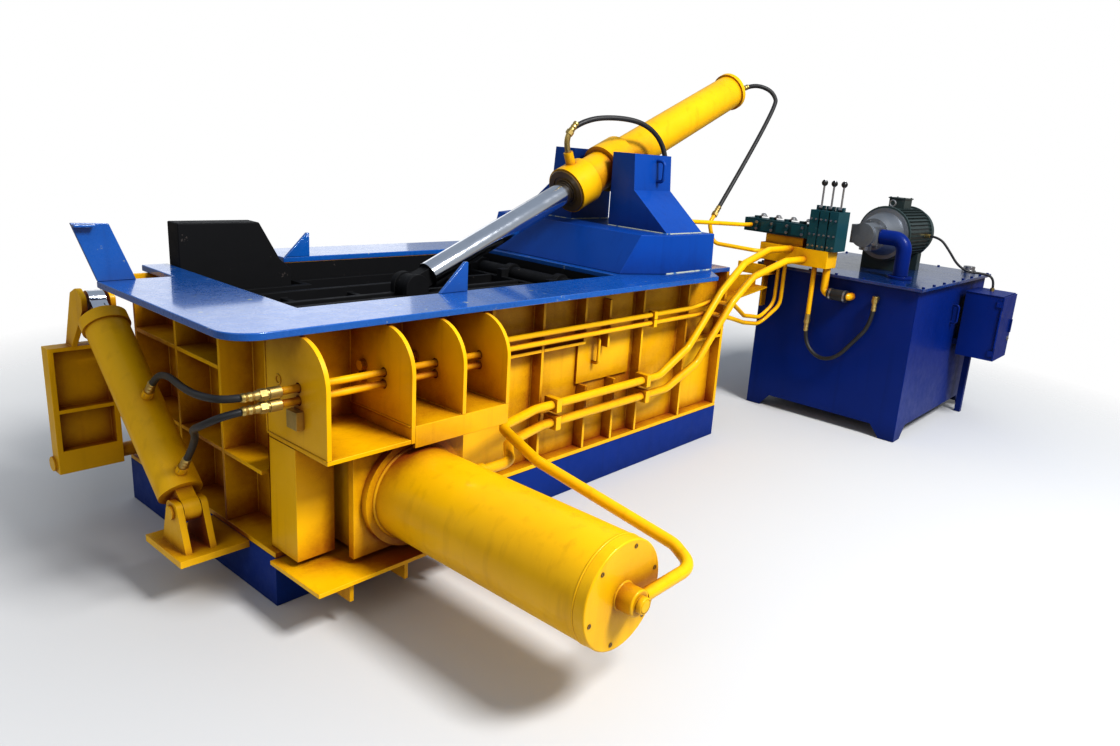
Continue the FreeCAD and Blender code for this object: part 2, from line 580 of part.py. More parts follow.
ORIGIN = ("0", "0")
barrel_shape = joined(
    drum("x", "-head_reach+150", "tail_reach", ORIGIN, "lid_barrel"),
    drum("x", "-head_reach", "-head_reach+150", ORIGIN, "lid_head"),
    drum("x", "-80", "80", ORIGIN, "lid_head+8"),
    drum("x", "tail_reach-30", "tail_reach", ORIGIN, "lid_barrel+12"),
    drum("y", "-bracket_in-trunnion_seat+10", "bracket_in+trunnion_seat-10", ("0", "0"),
         "trunnion_radius"),
    drum("z", "lid_head-20", "lid_head+62", ("-head_reach+75", "0"), "26"),
    drum("x", "tail_reach", "tail_reach+45", ("0", "-30"), "26"))
barrel_room = drum("x", "-head_reach+70", "tail_reach-40", ORIGIN, "lid_barrel-lid_wall")
barrel_neck = drum("x", "-head_reach-1", "-head_reach+71", ORIGIN, "lid_rod+running")
piece("lid_barrel", tilted(cut(barrel_shape, barrel_room, barrel_neck), lid_tilt))
REACH = f"{lid_reach:.6f}"
rod_shape = joined(
    drum("x", f"110-{REACH}", "-200", ORIGIN, "lid_rod"),
    drum("x", "-270", "-200", ORIGIN, "lid_barrel-lid_wall-running"),
    drum("y", "-eye_thick/2", "eye_thick/2", (f"-{REACH}", "0"), "56"),
    block(f"-{REACH}", f"115-{REACH}", "-eye_thick/2", "eye_thick/2", "-40", "40"))
piece("lid_rod", tilted(rod_shape, lid_tilt))

# --- Discharge door: slab, hinge lugs, shaft and outside arm -----------------
DOOR_BACK = "door_front+door_thick"
slab = plate("y", [("box_left+5", "door_bottom"), ("door_right", "door_bottom"),
                   ("door_right", "1000"), ("590", "1045"), ("500", "door_top"),
                   ("box_left+5", "door_top")], "door_front", DOOR_BACK)
lugs = []
for x in (215, 540):
    lugs.append(block(x, f"{x}+40", DOOR_BACK, "door_axis_y", "door_axis_z-12", "door_axis_z+85"))
    lugs.append(drum("x", x, f"{x}+40", ("door_axis_y", "door_axis_z"), "door_shaft+15"))
door_way = drum("x", "100", "700", ("door_axis_y", "door_axis_z"), "door_shaft+running")
piece("door_leaf", cut(joined(slab, *lugs), door_way))
wing_y = ("door_axis_y-50", "door_axis_y-50+wing_deep")
crank = [(wing_y[0], "wing_top"), (wing_y[1], "wing_top"), ("door_pin_y+70", "door_pin_z+22"),
         ("door_pin_y+8", "door_pin_z+50"), ("door_pin_y-42", "door_pin_z+20"),
         ("door_pin_y-42", "door_pin_z-30")]
crank_plates = [plate("x", crank, f"door_cyl_x{a}", f"door_cyl_x{a}+20", {3: "30", 4: "25"})
                for a in ("-58", "+38")]
wing = cut(block("wing_left", "wing_right", *wing_y, "door_axis_z-35", "wing_top"),
           block("wing_left+20", "wing_right-20", f"{wing_y[0]}-1", f"{wing_y[1]}-20",
                 "door_axis_z+60", "480-rib"),
           block("wing_left+20", "wing_right-20", f"{wing_y[0]}-1", f"{wing_y[1]}-20",
                 "480", "wing_top-rib"))
piece("door_arm", joined(wing, *crank_plates,
                         drum("x", "wing_left-10", "port_right-20",
                              ("door_axis_y", "door_axis_z"), "door_shaft")))

door_dy, door_dz = number("door_pin_y-door_cyl_y"), number("door_pin_z-door_cyl_z")
door_reach = math.hypot(door_dy, door_dz)
door_tilt = Placement(
    Vector(number("door_cyl_x"), number("door_cyl_y"), number("door_cyl_z")),
    Rotation(Vector(1, 0, 0), math.degrees(math.atan2(door_dz, door_dy)))
    * Rotation(Vector(0, 0, 1), 90))
door_barrel_shape = joined(
    drum("x", "62", "815", ORIGIN, "door_barrel"),
    drum("x", "790", "835", ORIGIN, "door_barrel+8"),
    block("0", "70", "-28", "28", "-38", "38"),
    drum("y", "-28", "28", ORIGIN, "44"),
    drum("z", "door_barrel-12", "door_barrel+34", ("430", "0"), "19"),
    drum("z", "door_barrel-12", "door_barrel+34", ("110", "0"), "19"))
piece("door_barrel", tilted(cut(
    door_barrel_shape,
    drum("x", "90", "775", ORIGIN, "door_barrel-13"),
    drum("x", "774", "836", ORIGIN, "door_rod+running"),
    drum("y", "-29", "29", ORIGIN, "25+running")), door_tilt))
DOOR_REACH = f"{door_reach:.6f}"
piece("door_rod", tilted(joined(
    drum("x", "180", f"{DOOR_REACH}-40", ORIGIN, "door_rod"),
    drum("x", "120", "180", ORIGIN, "door_barrel-13-running"),
    block(f"{DOOR_REACH}-60", DOOR_REACH, "-28", "28", "-30", "30"),
    drum("y", "-28", "28", (DOOR_REACH, "0"), "38")), door_tilt))

# Base plate, lugs and fixed pin of the door cylinder
foot_plate = block("door_cyl_x-85", "0", "door_cyl_y-125", "door_cyl_y+150",
                   "skid_height-25", "skid_height")
foot_lug_outline = [("door_cyl_y-90", "skid_height"), ("door_cyl_y+90", "skid_height"),
                    ("door_cyl_y+34", "door_cyl_z+38"), ("door_cyl_y-34", "door_cyl_z+38")]
foot_lugs = [plate("x", foot_lug_outline, f"door_cyl_x{a}", f"door_cyl_x{a}+22",
                   {2: "24", 3: "24"}) for a in ("-52", "+30")]
foot_pin = drum("x", "door_cyl_x-62", "door_cyl_x+62", ("door_cyl_y", "door_cyl_z"), "25")
piece("door_cylinder_foot", joined(foot_plate, *foot_lugs, foot_pin))

bearing_blocks = []
for x in (30, 592):
    housing = block(x, f"{x}+44", "door_axis_y-door_shaft-5", "skid_width", FLOOR,
                    "door_axis_z+door_shaft+6")
    bearing_blocks.append(cut(housing, drum("x", f"{x}-1", f"{x}+45",
                                            ("door_axis_y", "door_axis_z"),
                                            "door_shaft+running")))
piece("door_bearings", set_of(*bearing_blocks))

# --- Pressure pipes on the front wall ----------------------------------------
thin_y, thin_out = number("thin_y"), number("thin_y-120")
thin_routes = []
for high, drop in ((number("thin_high"), 0), (number("thin_low"), 45)):
    thin_routes.append([(-40, thin_out, high), (840, thin_out, high), (940, thin_y, high),
                        (2380, thin_y, high), (2560, thin_y - 20, high + 25 - drop / 2),
                        (2840, -20, high - 20 - drop), (3120, 60, 700 - drop),
                        (3380, 90, 655 - drop), (3500, 60 - drop, 740),
                        (3500, 60 - drop, 1010)])
piece("thin_pipes", set_of(*[pipe(r, "thin_pipe", bend=110) for r in thin_routes]))
thick_y = number("thick_y")
high, low = number("thick_high"), number("thick_low")
end_y = number("side_end_y-42")
thick_routes = [
    [(number("side_x+42"), end_y, number("side_z")), (690, end_y, number("side_z")),
     (745, end_y + 110, 420), (765, -480, 500), (900, -140, high + 5), (1180, thick_y, high),
     (2100, thick_y, high), (2340, thick_y - 10, high + 125), (2590, thick_y - 30, high + 420),
     (2810, thick_y - 30, 1068), (3150, -40, 1125), (3435, -40, 1125)],
    [(662, -300, 430), (800, -300, 430), (960, -120, low), (1230, thick_y, low),
     (2180, thick_y, low), (2430, thick_y - 15, low + 110), (2690, thick_y - 50, low + 440),
     (2880, thick_y - 60, 990), (3200, -140, 1070), (3435, -140, 1070)]]
piece("thick_pipes", set_of(*[pipe(r, "thick_pipe", bend=95) for r in thick_routes]))
clamp_blocks = []
for x in (1290, 1960):
    for z in ("thick_high", "thick_low"):
        lump = block(x, f"{x}+32", "thick_y-32", "0", f"{z}-32", f"{z}+32")
        clamp_blocks.append(cut(lump, drum("x", f"{x}-1", f"{x}+33", ("thick_y", z),
                                           "thick_pipe+seat+0.3")))
for x in (2030,):
    for z in ("thin_high", "thin_low"):
        lump = block(x, f"{x}+26", "thin_y-22", "0", f"{z}-20", f"{z}+20")
        clamp_blocks.append(cut(lump, drum("x", f"{x}-1", f"{x}+27", ("thin_y", z),
                                           "thin_pipe+seat")))
piece("pipe_clamps", set_of(*clamp_blocks))

# --- Oil tank, cover and feet ------------------------------------------------
TANK_RIGHT, TANK_BACK = "tank_left+tank_length", "tank_front+tank_width"
shell = block("tank_left", TANK_RIGHT, "tank_front", TANK_BACK, "tank_bottom", "tank_top")
room = block("tank_left+tank_wall", f"{TANK_RIGHT}-tank_wall", "tank_front+tank_wall",
             f"{TANK_BACK}-tank_wall", "tank_bottom+tank_wall", "tank_top+1")
feet = []
for y_edge, turn in (("tank_front", 1), (TANK_BACK, -1)):
    for x_edge, way in (("tank_left", 1), (TANK_RIGHT, -1)):
        across = [(f"{y_edge}", "0"), (f"{y_edge}+{turn}*foot_wide*0.6", "0"),
                  (f"{y_edge}+{turn}*foot_wide", "tank_bottom"), (f"{y_edge}", "tank_bottom")]
        along = [(f"{x_edge}", "0"), (f"{x_edge}+{way}*foot_wide*0.6", "0"),
                 (f"{x_edge}+{way}*foot_wide", "tank_bottom"), (f"{x_edge}", "tank_bottom")]
        x_pair = ("tank_left", "tank_left+12") if way > 0 else (f"{TANK_RIGHT}-12", TANK_RIGHT)
        y_pair = ("tank_front", "tank_front+12") if turn > 0 else (f"{TANK_BACK}-12", TANK_BACK)
        feet += [plate("x", across, *x_pair), plate("y", along, *y_pair)]
tank_loop = loop(4330, number("tank_front"), 760, -1, tall=120, deep=42, radius=8)
piece("oil_tank", joined(cut(shell, room), *feet, tank_loop))
COVER = "tank_top+cover_thick"
piece("tank_cover", block("tank_left-cover_over", f"{TANK_RIGHT}+cover_over",
                          "tank_front-cover_over", f"{TANK_BACK}+cover_over",
                          "tank_top", COVER))
FILLER = (f"{TANK_RIGHT}-130", "tank_front+90")
piece("filler_cap", joined(drum("z", COVER, f"{COVER}+22", FILLER, "48"),
                           drum("z", f"{COVER}+22", f"{COVER}+48", FILLER, "40")))

# --- Motor, bell housing, pump and suction pipe ------------------------------
MOTOR = ("motor_y", "motor_z")
MOTOR_END = "motor_x+motor_length"
motor_feet = [block(f"motor_x+{a}", f"motor_x+{a}+70", "motor_y-150", "motor_y+150", COVER,
                    "motor_z-motor_radius+45") for a in (50, 320)]
stator = joined(drum("x", "motor_x", f"{MOTOR_END}", MOTOR, "motor_radius"),
                drum("x", MOTOR_END, f"{MOTOR_END}+95", MOTOR, "motor_radius-8"),
                block("motor_x+150", "motor_x+290", "motor_y-55", "motor_y+55",
                      "motor_z+motor_radius-20", "motor_z+motor_radius+62"), *motor_feet)
stator_room = [drum("x", "motor_x+40", f"{MOTOR_END}-40", MOTOR, "motor_radius-25"),
               drum("x", "motor_x-1", f"{MOTOR_END}+1", MOTOR, "shaft_radius+running"),
               drum("x", MOTOR_END, f"{MOTOR_END}+88", MOTOR, "motor_radius-14")]
grille = [drum("x", f"{MOTOR_END}+80", f"{MOTOR_END}+96",
               (f"motor_y+{120 * math.cos(a):.2f}", f"motor_z+{120 * math.sin(a):.2f}"), "24")
          for a in [math.radians(45 * i) for i in range(8)]]
piece("motor_housing", cut(stator, *stator_room, *grille))
rotor = [drum("x", "motor_x-bell_length+60", f"{MOTOR_END}+70", MOTOR, "shaft_radius"),
         drum("x", "motor_x+60", f"{MOTOR_END}-60", MOTOR, "motor_radius-60"),
         drum("x", f"{MOTOR_END}+25", f"{MOTOR_END}+65", MOTOR, "50")]
for i in range(6):
    blade = add("Part::Box", "Blade")
    blade.Length, blade.Width, blade.Height = 34, 8, number("motor_radius-80")
    turn = Rotation(Vector(1, 0, 0), 60 * i)
    middle = Vector(number(f"{MOTOR_END}+28"), number("motor_y"), number("motor_z"))
    blade.Placement = Placement(middle + turn.multVec(Vector(0, -4, 48)), turn)
    rotor.append(blade)
piece("motor_rotor", joined(*rotor))
BELL = "motor_x-bell_length"
bell = cut(cone("x", BELL, "motor_x", MOTOR, "105", "150"),
           cone("x", f"{BELL}+14", "motor_x-10", MOTOR, "92", "128"),
           drum("x", "motor_x-11", "motor_x+1", MOTOR, "shaft_radius+20"))
PUMP = f"{BELL}-pump_length"
piece("pump_and_bell", joined(bell, drum("x", PUMP, BELL, MOTOR, "78"),
                     block(f"{PUMP}+30", f"{PUMP}+130", "motor_y-95", "motor_y+95",
                           "motor_z-60", "motor_z+60"),
                     drum("z", "motor_z-100", "motor_z-60", (f"{PUMP}+80", "motor_y"), "40")))
pump_x = number(f"{PUMP}+80")
motor_y, motor_z = number("motor_y"), number("motor_z")
suction = [(pump_x, motor_y - 95, motor_z), (pump_x, motor_y - 260, motor_z),
           (pump_x, motor_y - 260, number(COVER) + 18)]
piece("suction_elbow", set_of(pipe(suction, 48, bend=82),
                              drum("z", COVER, f"{COVER}+18", (pump_x, f"motor_y-260"), "78")))

# --- Electrical box with its door --------------------------------------------
BOX_BACKING = "box_y+box_deep"
case = cut(block("box_x", "box_x+box_wide", "box_y", BOX_BACKING, "box_z", "box_z+box_high"),
           block("box_x+box_skin", "box_x+box_wide-box_skin", "box_y-1",
                 f"{BOX_BACKING}-box_skin", "box_z+box_skin", "box_z+box_high-box_skin"))
arms = [block(x, f"{x}+30", BOX_BACKING, "tank_front", "box_z+60", "box_z+100")
        for x in ("box_x+40", "box_x+box_wide-70")]
post_leg = block("box_x+box_wide-60", "box_x+box_wide-25", f"{BOX_BACKING}-40", BOX_BACKING,
                 "0", "box_z")
hinge_pin = drum("z", "box_z+30", "box_z+box_high-30", ("box_x-7", "box_y-6"), "3")
hinge_pads = [block("box_x-9", "box_x", "box_y-4", "box_y+30", z, f"{z}+40")
              for z in ("box_z+30", "box_z+box_high-70")]
piece("electrical_box", joined(case, *arms, post_leg, *hinge_pads, hinge_pin))
door_skin = block("box_x", "box_x+box_wide", "box_y-12", "box_y-2", "box_z", "box_z+box_high")
hinge_tube = [drum("z", "box_z+90", "box_z+box_high-90", ("box_x-7", "box_y-6"), "6.5"),
              block("box_x-7", "box_x", "box_y-12", "box_y-4", "box_z+90", "box_z+box_high-90")]
handle = [block("box_x+box_wide-52", "box_x+box_wide-32", "box_y-24", "box_y-12",
                "box_z+box_high/2-45", "box_z+box_high/2+45")]
piece("box_door", cut(joined(door_skin, *hinge_tube, *handle),
                      drum("z", "box_z", "box_z+box_high", ("box_x-7", "box_y-6"), "3+running")))

# --- Valve bank, manifold, stand and levers ----------------------------------
valve_parts = [block("valve_left", "valve_left+valve_deep", "valve_front", "valve_back",
                     "valve_bottom", "valve_top")]
for i in range(4):
    y = f"valve_front+20+{i}*110"
    valve_parts.append(block("valve_left-14", "valve_left+valve_deep+14", y, f"{y}+80",
                             "valve_bottom+12", "valve_top-12"))
    valve_parts.append(drum("z", "valve_top", "valve_top+14",
                            ("valve_left+valve_deep/2", f"{y}+40"), "24"))
lever_ys = [number("lever_first") - i * number("lever_pitch") for i in range(3)]
for y in lever_ys:
    valve_parts.append(block("valve_left-5", "valve_left+valve_deep+30", y - 29, y + 29,
                             "valve_bottom-60", "1385"))
valve_parts.append(block("valve_left", "valve_left+valve_deep", lever_ys[-1], "valve_front",
                         "valve_bottom", "valve_top-10"))
lever_x, lever_z = number("valve_left+valve_deep/2+12"), 1398
slots = [block(lever_x - 30, lever_x + 30, y - 13, y + 13, "1350", "1386") for y in lever_ys]
caps = []
for y in lever_ys:
    for side in (-1, 1):
        caps.append(block(lever_x - 14, lever_x + 14, y + side * 20 - 6, y + side * 20 + 6,
                          "1380", lever_z + 14))
lever_bores = [drum("y", y - 30, y + 30, (lever_x, lever_z), "5+running") for y in lever_ys]
piece("valve_bank", cut(joined(*valve_parts, *caps), *slots, *lever_bores))
for i, y in enumerate(lever_ys, 1):
    piece(f"lever_{i}", joined(
        drum("y", y - 25, y + 25, (lever_x, lever_z), "5"),
        drum("y", y - 12, y + 12, (lever_x, lever_z), "13"),
        drum("z", lever_z, lever_z + 138, (lever_x, y), "6"),
        cone("z", lever_z + 134, lever_z + 150, (lever_x, y), "8", "18"),
        cone("z", lever_z + 150, lever_z + 172, (lever_x, y), "18", "9")))
manifold = joined(block("valve_left-5", "valve_left+valve_deep+10", "valve_front-170",
                        "valve_back-140", "1030", "valve_bottom-60"),
                  block("valve_left+20", "valve_left+valve_deep-20", "valve_front+20",
                        "valve_back-160", "valve_bottom-60", "valve_bottom"))
piece("manifold", manifold)
stand = [block("valve_left-60", "tank_left", "95", "300", "930", "942"),
         block("valve_left-60", "valve_left-48", "95", "300", "942", "1000"),
         block("valve_left+60", "valve_left+100", "105", "175", "942", "1030"),
         block("tank_left-60", "tank_left", "180", "194", "700", "930")]
piece("valve_stand", joined(*stand))
arm_outline = [("skid_length", "800"), ("skid_length", "960"), ("valve_left-60", "930"),
               ("valve_left-60", "865")]
piece("pipe_arm", joined(plate("y", arm_outline, "150", "166"),
                         plate("y", [("skid_length", "800"), ("valve_left-60", "865"),
                                     ("valve_left-60", "855"), ("skid_length", "788")],
                               "60", "166")))

# --- Hose fittings and the yellow link pipes ---------------------------------
fittings = [block("-6", "20", "thin_y-150", "thin_y-90", "thin_low-90", "thin_low-30")]
for z in ("thin_high", "thin_low"):
    fittings.append(drum("x", "-78", "-40", ("thin_y-120", z), "19"))
    fittings.append(drum("x", "-110", "-78", ("thin_y-120", z), "16"))
HEAD_END = (2558, 370, 1300)
DRAIN_START, DRAIN_END = (3520, -185, 655), (3560, -600, 860)
fittings.append(drum("z", "beam_top", HEAD_END[2], HEAD_END[:2], "18"))
fittings.append(drum("z", DRAIN_START[2], "715", DRAIN_START[:2], "18"))
fittings.append(joined(drum("z", DRAIN_END[2], "900", DRAIN_END[:2], "18"),
                       drum("x", DRAIN_END[0], "tank_left", (DRAIN_END[1], "885"), "14")))
fittings.append(drum("z", "box_z+box_high", "box_z+box_high+25", ("4650", "-1000"), "14"))
fittings.append(drum("y", "motor_y-motor_radius-35", "motor_y-motor_radius",
                     ("4500", "motor_z"), "14"))
piece("hose_fittings", set_of(*fittings))
links = [
    drum("z", "715", "1030", DRAIN_START[:2], "16"),
    pipe([(3540, -262, 1030), (3540, -262, 868), (3540, -430, 868), (3600, -430, 868)],
         24, bend=34),
    pipe([(HEAD_END[0] + 18, HEAD_END[1], 1262), (2720, 370, 1262), (3120, 320, 1248),
          (3330, 260, 1242), (3426, 260, 1242)], 13, bend=200),
    pipe([(3234.7, 425, 1299.7), (3174.5, 424.5, 1233.4), (3200, 400, 1110), (3320, 130, 1090),
          (3435, 130, 1090)], 13, bend=60)]
piece("link_pipes", set_of(*links))

# --- Hoses and the motor cable -----------------------------------------------
HOSES = {
    "lid_head_hose": (14, [(1990.8, 600.0, 1606.7), (1950.5, 600.0, 1698.3), (2085, 556, 1788),
                           (2260, 492, 1812), (2420, 432, 1796), (2545, 398, 1712),
                           (2584, 376, 1575), (2558, 370, 1440), (2558, 370, 1300.4)]),
    "lid_tail_hose": (14, [(3580.8, 600.0, 2068.5), (3699.8, 600.0, 2120.9), (3830, 560, 2150),
                           (3900, 480, 2110), (3880, 430, 2010), (3235, 425, 1300)]),
    "door_hose_upper": (12, [(-110.4, -140, 834), (-205, -140, 834), (-222, 10, 815),
                             (-190, 200, 792), (-155, 370, 780), (-150.0, 488.6, 755.1),
                             (-150.0, 554.7, 680.5)]),
    "door_hose_lower": (12, [(-110.4, -140, 792), (-205, -140, 792), (-240, -40, 735),
                             (-210, 90, 680), (-165, 170, 625), (-150.0, 243.8, 548.9),
                             (-150.0, 315.1, 468.3)]),
    "drain_hose": (13, [(3520, -185, 654.6), (3520, -185, 565), (3516, -235, 480),
                        (3514, -330, 440), (3518, -430, 480), (3530, -510, 590),
                        (3560, -600, 720), (3560, -600, 859.6)]),
    "motor_cable": (8, [(4500, -560.4, 1240), (4500, -630, 1240), (4520, -700, 1160),
                        (4550, -760, 1070), (4590, -830, 1024), (4630, -910, 1026),
                        (4650, -1000, 1010), (4650, -1000, 935.4)]),
}
for label, (size, route) in HOSES.items():
    print(label)
    piece(label, pipe(route, size, hose=True))

# --- Check every object, then write each piece -------------------------------
doc.recompute()
faults = [f"{obj.Label}: {obj.State}" for obj in doc.Objects
          if "Invalid" in obj.State or "Error" in obj.State]
for label, final in pieces.items():
    if final.Shape.isNull() or not final.Shape.isValid() or not final.Shape.Solids:
        faults.append(f"{label}: shape is null, invalid or has no solid")
if faults:
    raise SystemExit("\n".join(faults))
os.makedirs("parts", exist_ok=True)
for label, final in pieces.items():
    final.Shape.exportStep(f"parts/{label}.step")
print(len(pieces), "pieces written")
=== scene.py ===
"""Finish of a hydraulic scrap baler: paint, hoses, bolts, welds, valves and motor trim.

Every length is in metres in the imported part's own frame: +X runs along the press
to the oil tank, +Y to the back, +Z up, the floor at z = 0.
"""
import json
import math

import bmesh
import bpy
from mathutils import Matrix, Vector


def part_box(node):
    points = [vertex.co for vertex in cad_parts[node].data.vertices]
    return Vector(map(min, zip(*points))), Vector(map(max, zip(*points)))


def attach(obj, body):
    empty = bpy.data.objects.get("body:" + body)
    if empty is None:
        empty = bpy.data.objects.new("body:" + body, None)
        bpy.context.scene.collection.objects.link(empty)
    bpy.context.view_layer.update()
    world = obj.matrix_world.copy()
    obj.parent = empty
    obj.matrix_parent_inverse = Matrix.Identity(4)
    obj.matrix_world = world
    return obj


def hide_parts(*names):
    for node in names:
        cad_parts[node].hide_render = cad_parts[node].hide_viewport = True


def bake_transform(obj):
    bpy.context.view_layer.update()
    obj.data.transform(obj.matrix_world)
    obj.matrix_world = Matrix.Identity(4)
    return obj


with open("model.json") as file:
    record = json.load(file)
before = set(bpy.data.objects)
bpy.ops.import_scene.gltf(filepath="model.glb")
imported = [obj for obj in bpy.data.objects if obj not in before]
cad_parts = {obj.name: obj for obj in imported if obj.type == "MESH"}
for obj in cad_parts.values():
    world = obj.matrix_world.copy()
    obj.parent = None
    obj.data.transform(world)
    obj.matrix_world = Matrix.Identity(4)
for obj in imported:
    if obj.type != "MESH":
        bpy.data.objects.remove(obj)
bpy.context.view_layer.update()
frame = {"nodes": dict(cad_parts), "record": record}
scene = bpy.context.scene
record = frame["record"]
body_of_node = {node: body for body, nodes in record["behaviour"]["bodies"].items()
                for node in nodes}
slot_of_node = {part["node"]: part["material_slot"] for part in record["subparts"]}

# --- Shader nodes -------------------------------------------------------------
# Short ways to add a node group, a node, a mix, a range and a sum.
def group(name, inputs, outputs):
    """An empty shader node group with named sockets."""
    tree = bpy.data.node_groups.new(name, "ShaderNodeTree")
    for label, kind, value in inputs:
        socket = tree.interface.new_socket(label, in_out="INPUT", socket_type=kind)
        socket.default_value = value
    for label, kind in outputs:
        tree.interface.new_socket(label, in_out="OUTPUT", socket_type=kind)
    return tree, tree.nodes.new("NodeGroupInput"), tree.nodes.new("NodeGroupOutput")


def node(tree, kind, links=None, **settings):
    """A node with its settings, its plain values and its incoming links."""
    made = tree.nodes.new(kind)
    for key, value in settings.items():
        setattr(made, key, value)
    for key, source in (links or {}).items():
        if isinstance(source, bpy.types.NodeSocket):
            tree.links.new(source, made.inputs[key])
        else:
            made.inputs[key].default_value = source
    return made


def mixed(tree, share, low, high, blend="MIX"):
    """A colour mix; low and high are sockets or colours."""
    return node(tree, "ShaderNodeMix", {0: share, 6: low, 7: high}, data_type="RGBA",
                blend_type=blend).outputs[2]


def ranged(tree, value, low, high, to_low=0.0, to_high=1.0):
    """A value taken from one range to another, clamped."""
    return node(tree, "ShaderNodeMapRange", {0: value, 1: low, 2: high, 3: to_low,
                                             4: to_high}).outputs[0]


def math_node(tree, operation, a, b):
    """The result of a sum on two values."""
    return node(tree, "ShaderNodeMath", {0: a, 1: b}, operation=operation).outputs[0]


# --- Camera -------------------------------------------------------------------
# It stands in front of the press's left end, a little above head height, and
# looks along the machine to the power unit.
camera_data = bpy.data.cameras.new("camera")
camera_data.lens = 25.88
camera_data.shift_x = -0.068
camera_data.shift_y = -0.0057
camera = bpy.data.objects.new("camera", camera_data)
right = Vector((0.61855, -0.78119, 0.08459))
up = Vector((0.15320, 0.22548, 0.96213))
back = Vector((-0.77067, -0.58216, 0.25914))
turned_view = Matrix((right, up, back)).transposed().to_4x4()
camera.matrix_world = Matrix.Translation((-2.667, -3.044, 1.650)) @ turned_view
scene.collection.objects.link(camera)
scene.camera = camera

# --- Floor and light ----------------------------------------------------------
# A plain pale floor that fades out round the machine, a white room, one large
# soft lamp above the press's front and one low behind it that shines on the rim.
scene.view_settings.view_transform = "Standard"
scene.view_settings.gamma = 0.86
FLOOR_MIDDLE = (0.9, -0.3, 0)
FLOOR_FADE = (2.6, 4.6)
floor_bm = bmesh.new()
bmesh.ops.create_grid(floor_bm, x_segments=1, y_segments=1, size=30)
floor_mesh = bpy.data.meshes.new("floor")
floor_bm.to_mesh(floor_mesh)
floor_bm.free()
floor = bpy.data.objects.new("floor", floor_mesh)
floor.location.z = -0.002
scene.collection.objects.link(floor)
floor_paint = bpy.data.materials.new("pale_floor")
floor_paint.use_nodes = True
floor_tree = floor_paint.node_tree
floor_shader = floor_tree.nodes["Principled BSDF"]
floor_shader.inputs["Base Color"].default_value = (0.62, 0.62, 0.62, 1)
floor_shader.inputs["Roughness"].default_value = 0.9
floor_spot = node(floor_tree, "ShaderNodeTexCoord").outputs["Object"]
floor_reach = node(floor_tree, "ShaderNodeVectorMath", {0: floor_spot, 1: FLOOR_MIDDLE},
                   operation="DISTANCE").outputs["Value"]
open_air = node(floor_tree, "ShaderNodeBsdfTransparent")
floor_mix = node(floor_tree, "ShaderNodeMixShader",
                 {0: ranged(floor_tree, floor_reach, *FLOOR_FADE), 1: floor_shader.outputs[0],
                  2: open_air.outputs[0]})
floor_tree.links.new(floor_mix.outputs[0], floor_tree.nodes["Material Output"].inputs["Surface"])
floor_mesh.materials.append(floor_paint)

world = bpy.data.worlds.new("pale_room")
world.use_nodes = True
world_tree = world.node_tree
sky = world_tree.nodes["Background"]
sky.inputs["Strength"].default_value = 0.50
direction = node(world_tree, "ShaderNodeTexCoord").outputs["Generated"]
rise = node(world_tree, "ShaderNodeSeparateXYZ", {0: direction}).outputs["Z"]
ramp = node(world_tree, "ShaderNodeValToRGB", {0: rise})
horizon, low_sky = ramp.color_ramp.elements
horizon.position = 0.0
horizon.color = (0.58, 0.50, 0.42, 1)
low_sky.position = 0.05
low_sky.color = (0.95, 0.98, 1.0, 1)
ramp.color_ramp.elements.new(0.80).color = (0.75, 0.85, 1.0, 1)
world_tree.links.new(ramp.outputs[0], sky.inputs["Color"])
white_wall = node(world_tree, "ShaderNodeBackground", {"Color": (1, 1, 1, 1)})
seen_directly = node(world_tree, "ShaderNodeLightPath").outputs["Is Camera Ray"]
shown = node(world_tree, "ShaderNodeMixShader",
             {0: seen_directly, 1: sky.outputs[0], 2: white_wall.outputs[0]})
world_tree.links.new(shown.outputs[0], world_tree.nodes["World Output"].inputs["Surface"])
scene.world = world


def lamp(name, spot, target, size, power):
    """A square soft lamp that faces a point and isn't seen itself."""
    data = bpy.data.lights.new(name, "AREA")
    data.size = size
    data.energy = power
    light = bpy.data.objects.new(name, data)
    light.location = spot
    light.rotation_euler = (Vector(target) - Vector(spot)).to_track_quat("-Z", "Y").to_euler()
    light.visible_camera = False
    scene.collection.objects.link(light)


lamp("key_lamp", (0.6, -5.8, 6.6), (0.3, 0, 0.6), 2.0, 830)
lamp("end_lamp", (-6.5, -2.5, 4.5), (-0.8, 0, 0.6), 3.0, 45)
lamp("rim_lamp", (2.4, 6.6, 3.4), (-0.4, 0, 1.0), 3.6, 34)


# --- Machine paint ------------------------------------------------------------
# Sprayed enamel on welded plate.  The group gives its colour with painted shade
# darkening the corners and recesses (from ambient occlusion), rubbed and chipped patches, faint
# streaks and an orange-peel surface.
paint_group, paint_in, paint_out = group(
    "machine_paint",
    [("Paint", "NodeSocketColor", (0.9, 0.5, 0.02, 1)),
     ("Shade_and_grime", "NodeSocketColor", (0.3, 0.1, 0.01, 1)),
     ("Bare", "NodeSocketColor", (0.25, 0.22, 0.2, 1)),
     ("Shade_strength", "NodeSocketFloat", 0.6), ("Chips", "NodeSocketFloat", 0.3),
     ("Gloss", "NodeSocketFloat", 0.3)],
    [("Colour", "NodeSocketColor"), ("Roughness", "NodeSocketFloat"),
     ("Height", "NodeSocketFloat")])
place = node(paint_group, "ShaderNodeTexCoord").outputs["Object"]
broad = node(paint_group, "ShaderNodeTexNoise",
             {"Vector": place, "Scale": 2.2, "Detail": 4.0, "Roughness": 0.6}).outputs[0]
patchy = node(paint_group, "ShaderNodeTexNoise",
              {"Vector": place, "Scale": 17.0, "Detail": 8.0, "Roughness": 0.72}).outputs[0]
peel = node(paint_group, "ShaderNodeTexNoise",
            {"Vector": place, "Scale": 160.0, "Detail": 2.0}).outputs[0]
streak_place = node(paint_group, "ShaderNodeMapping",
                    {"Vector": place, "Scale": (26.0, 26.0, 1.6)}).outputs[0]
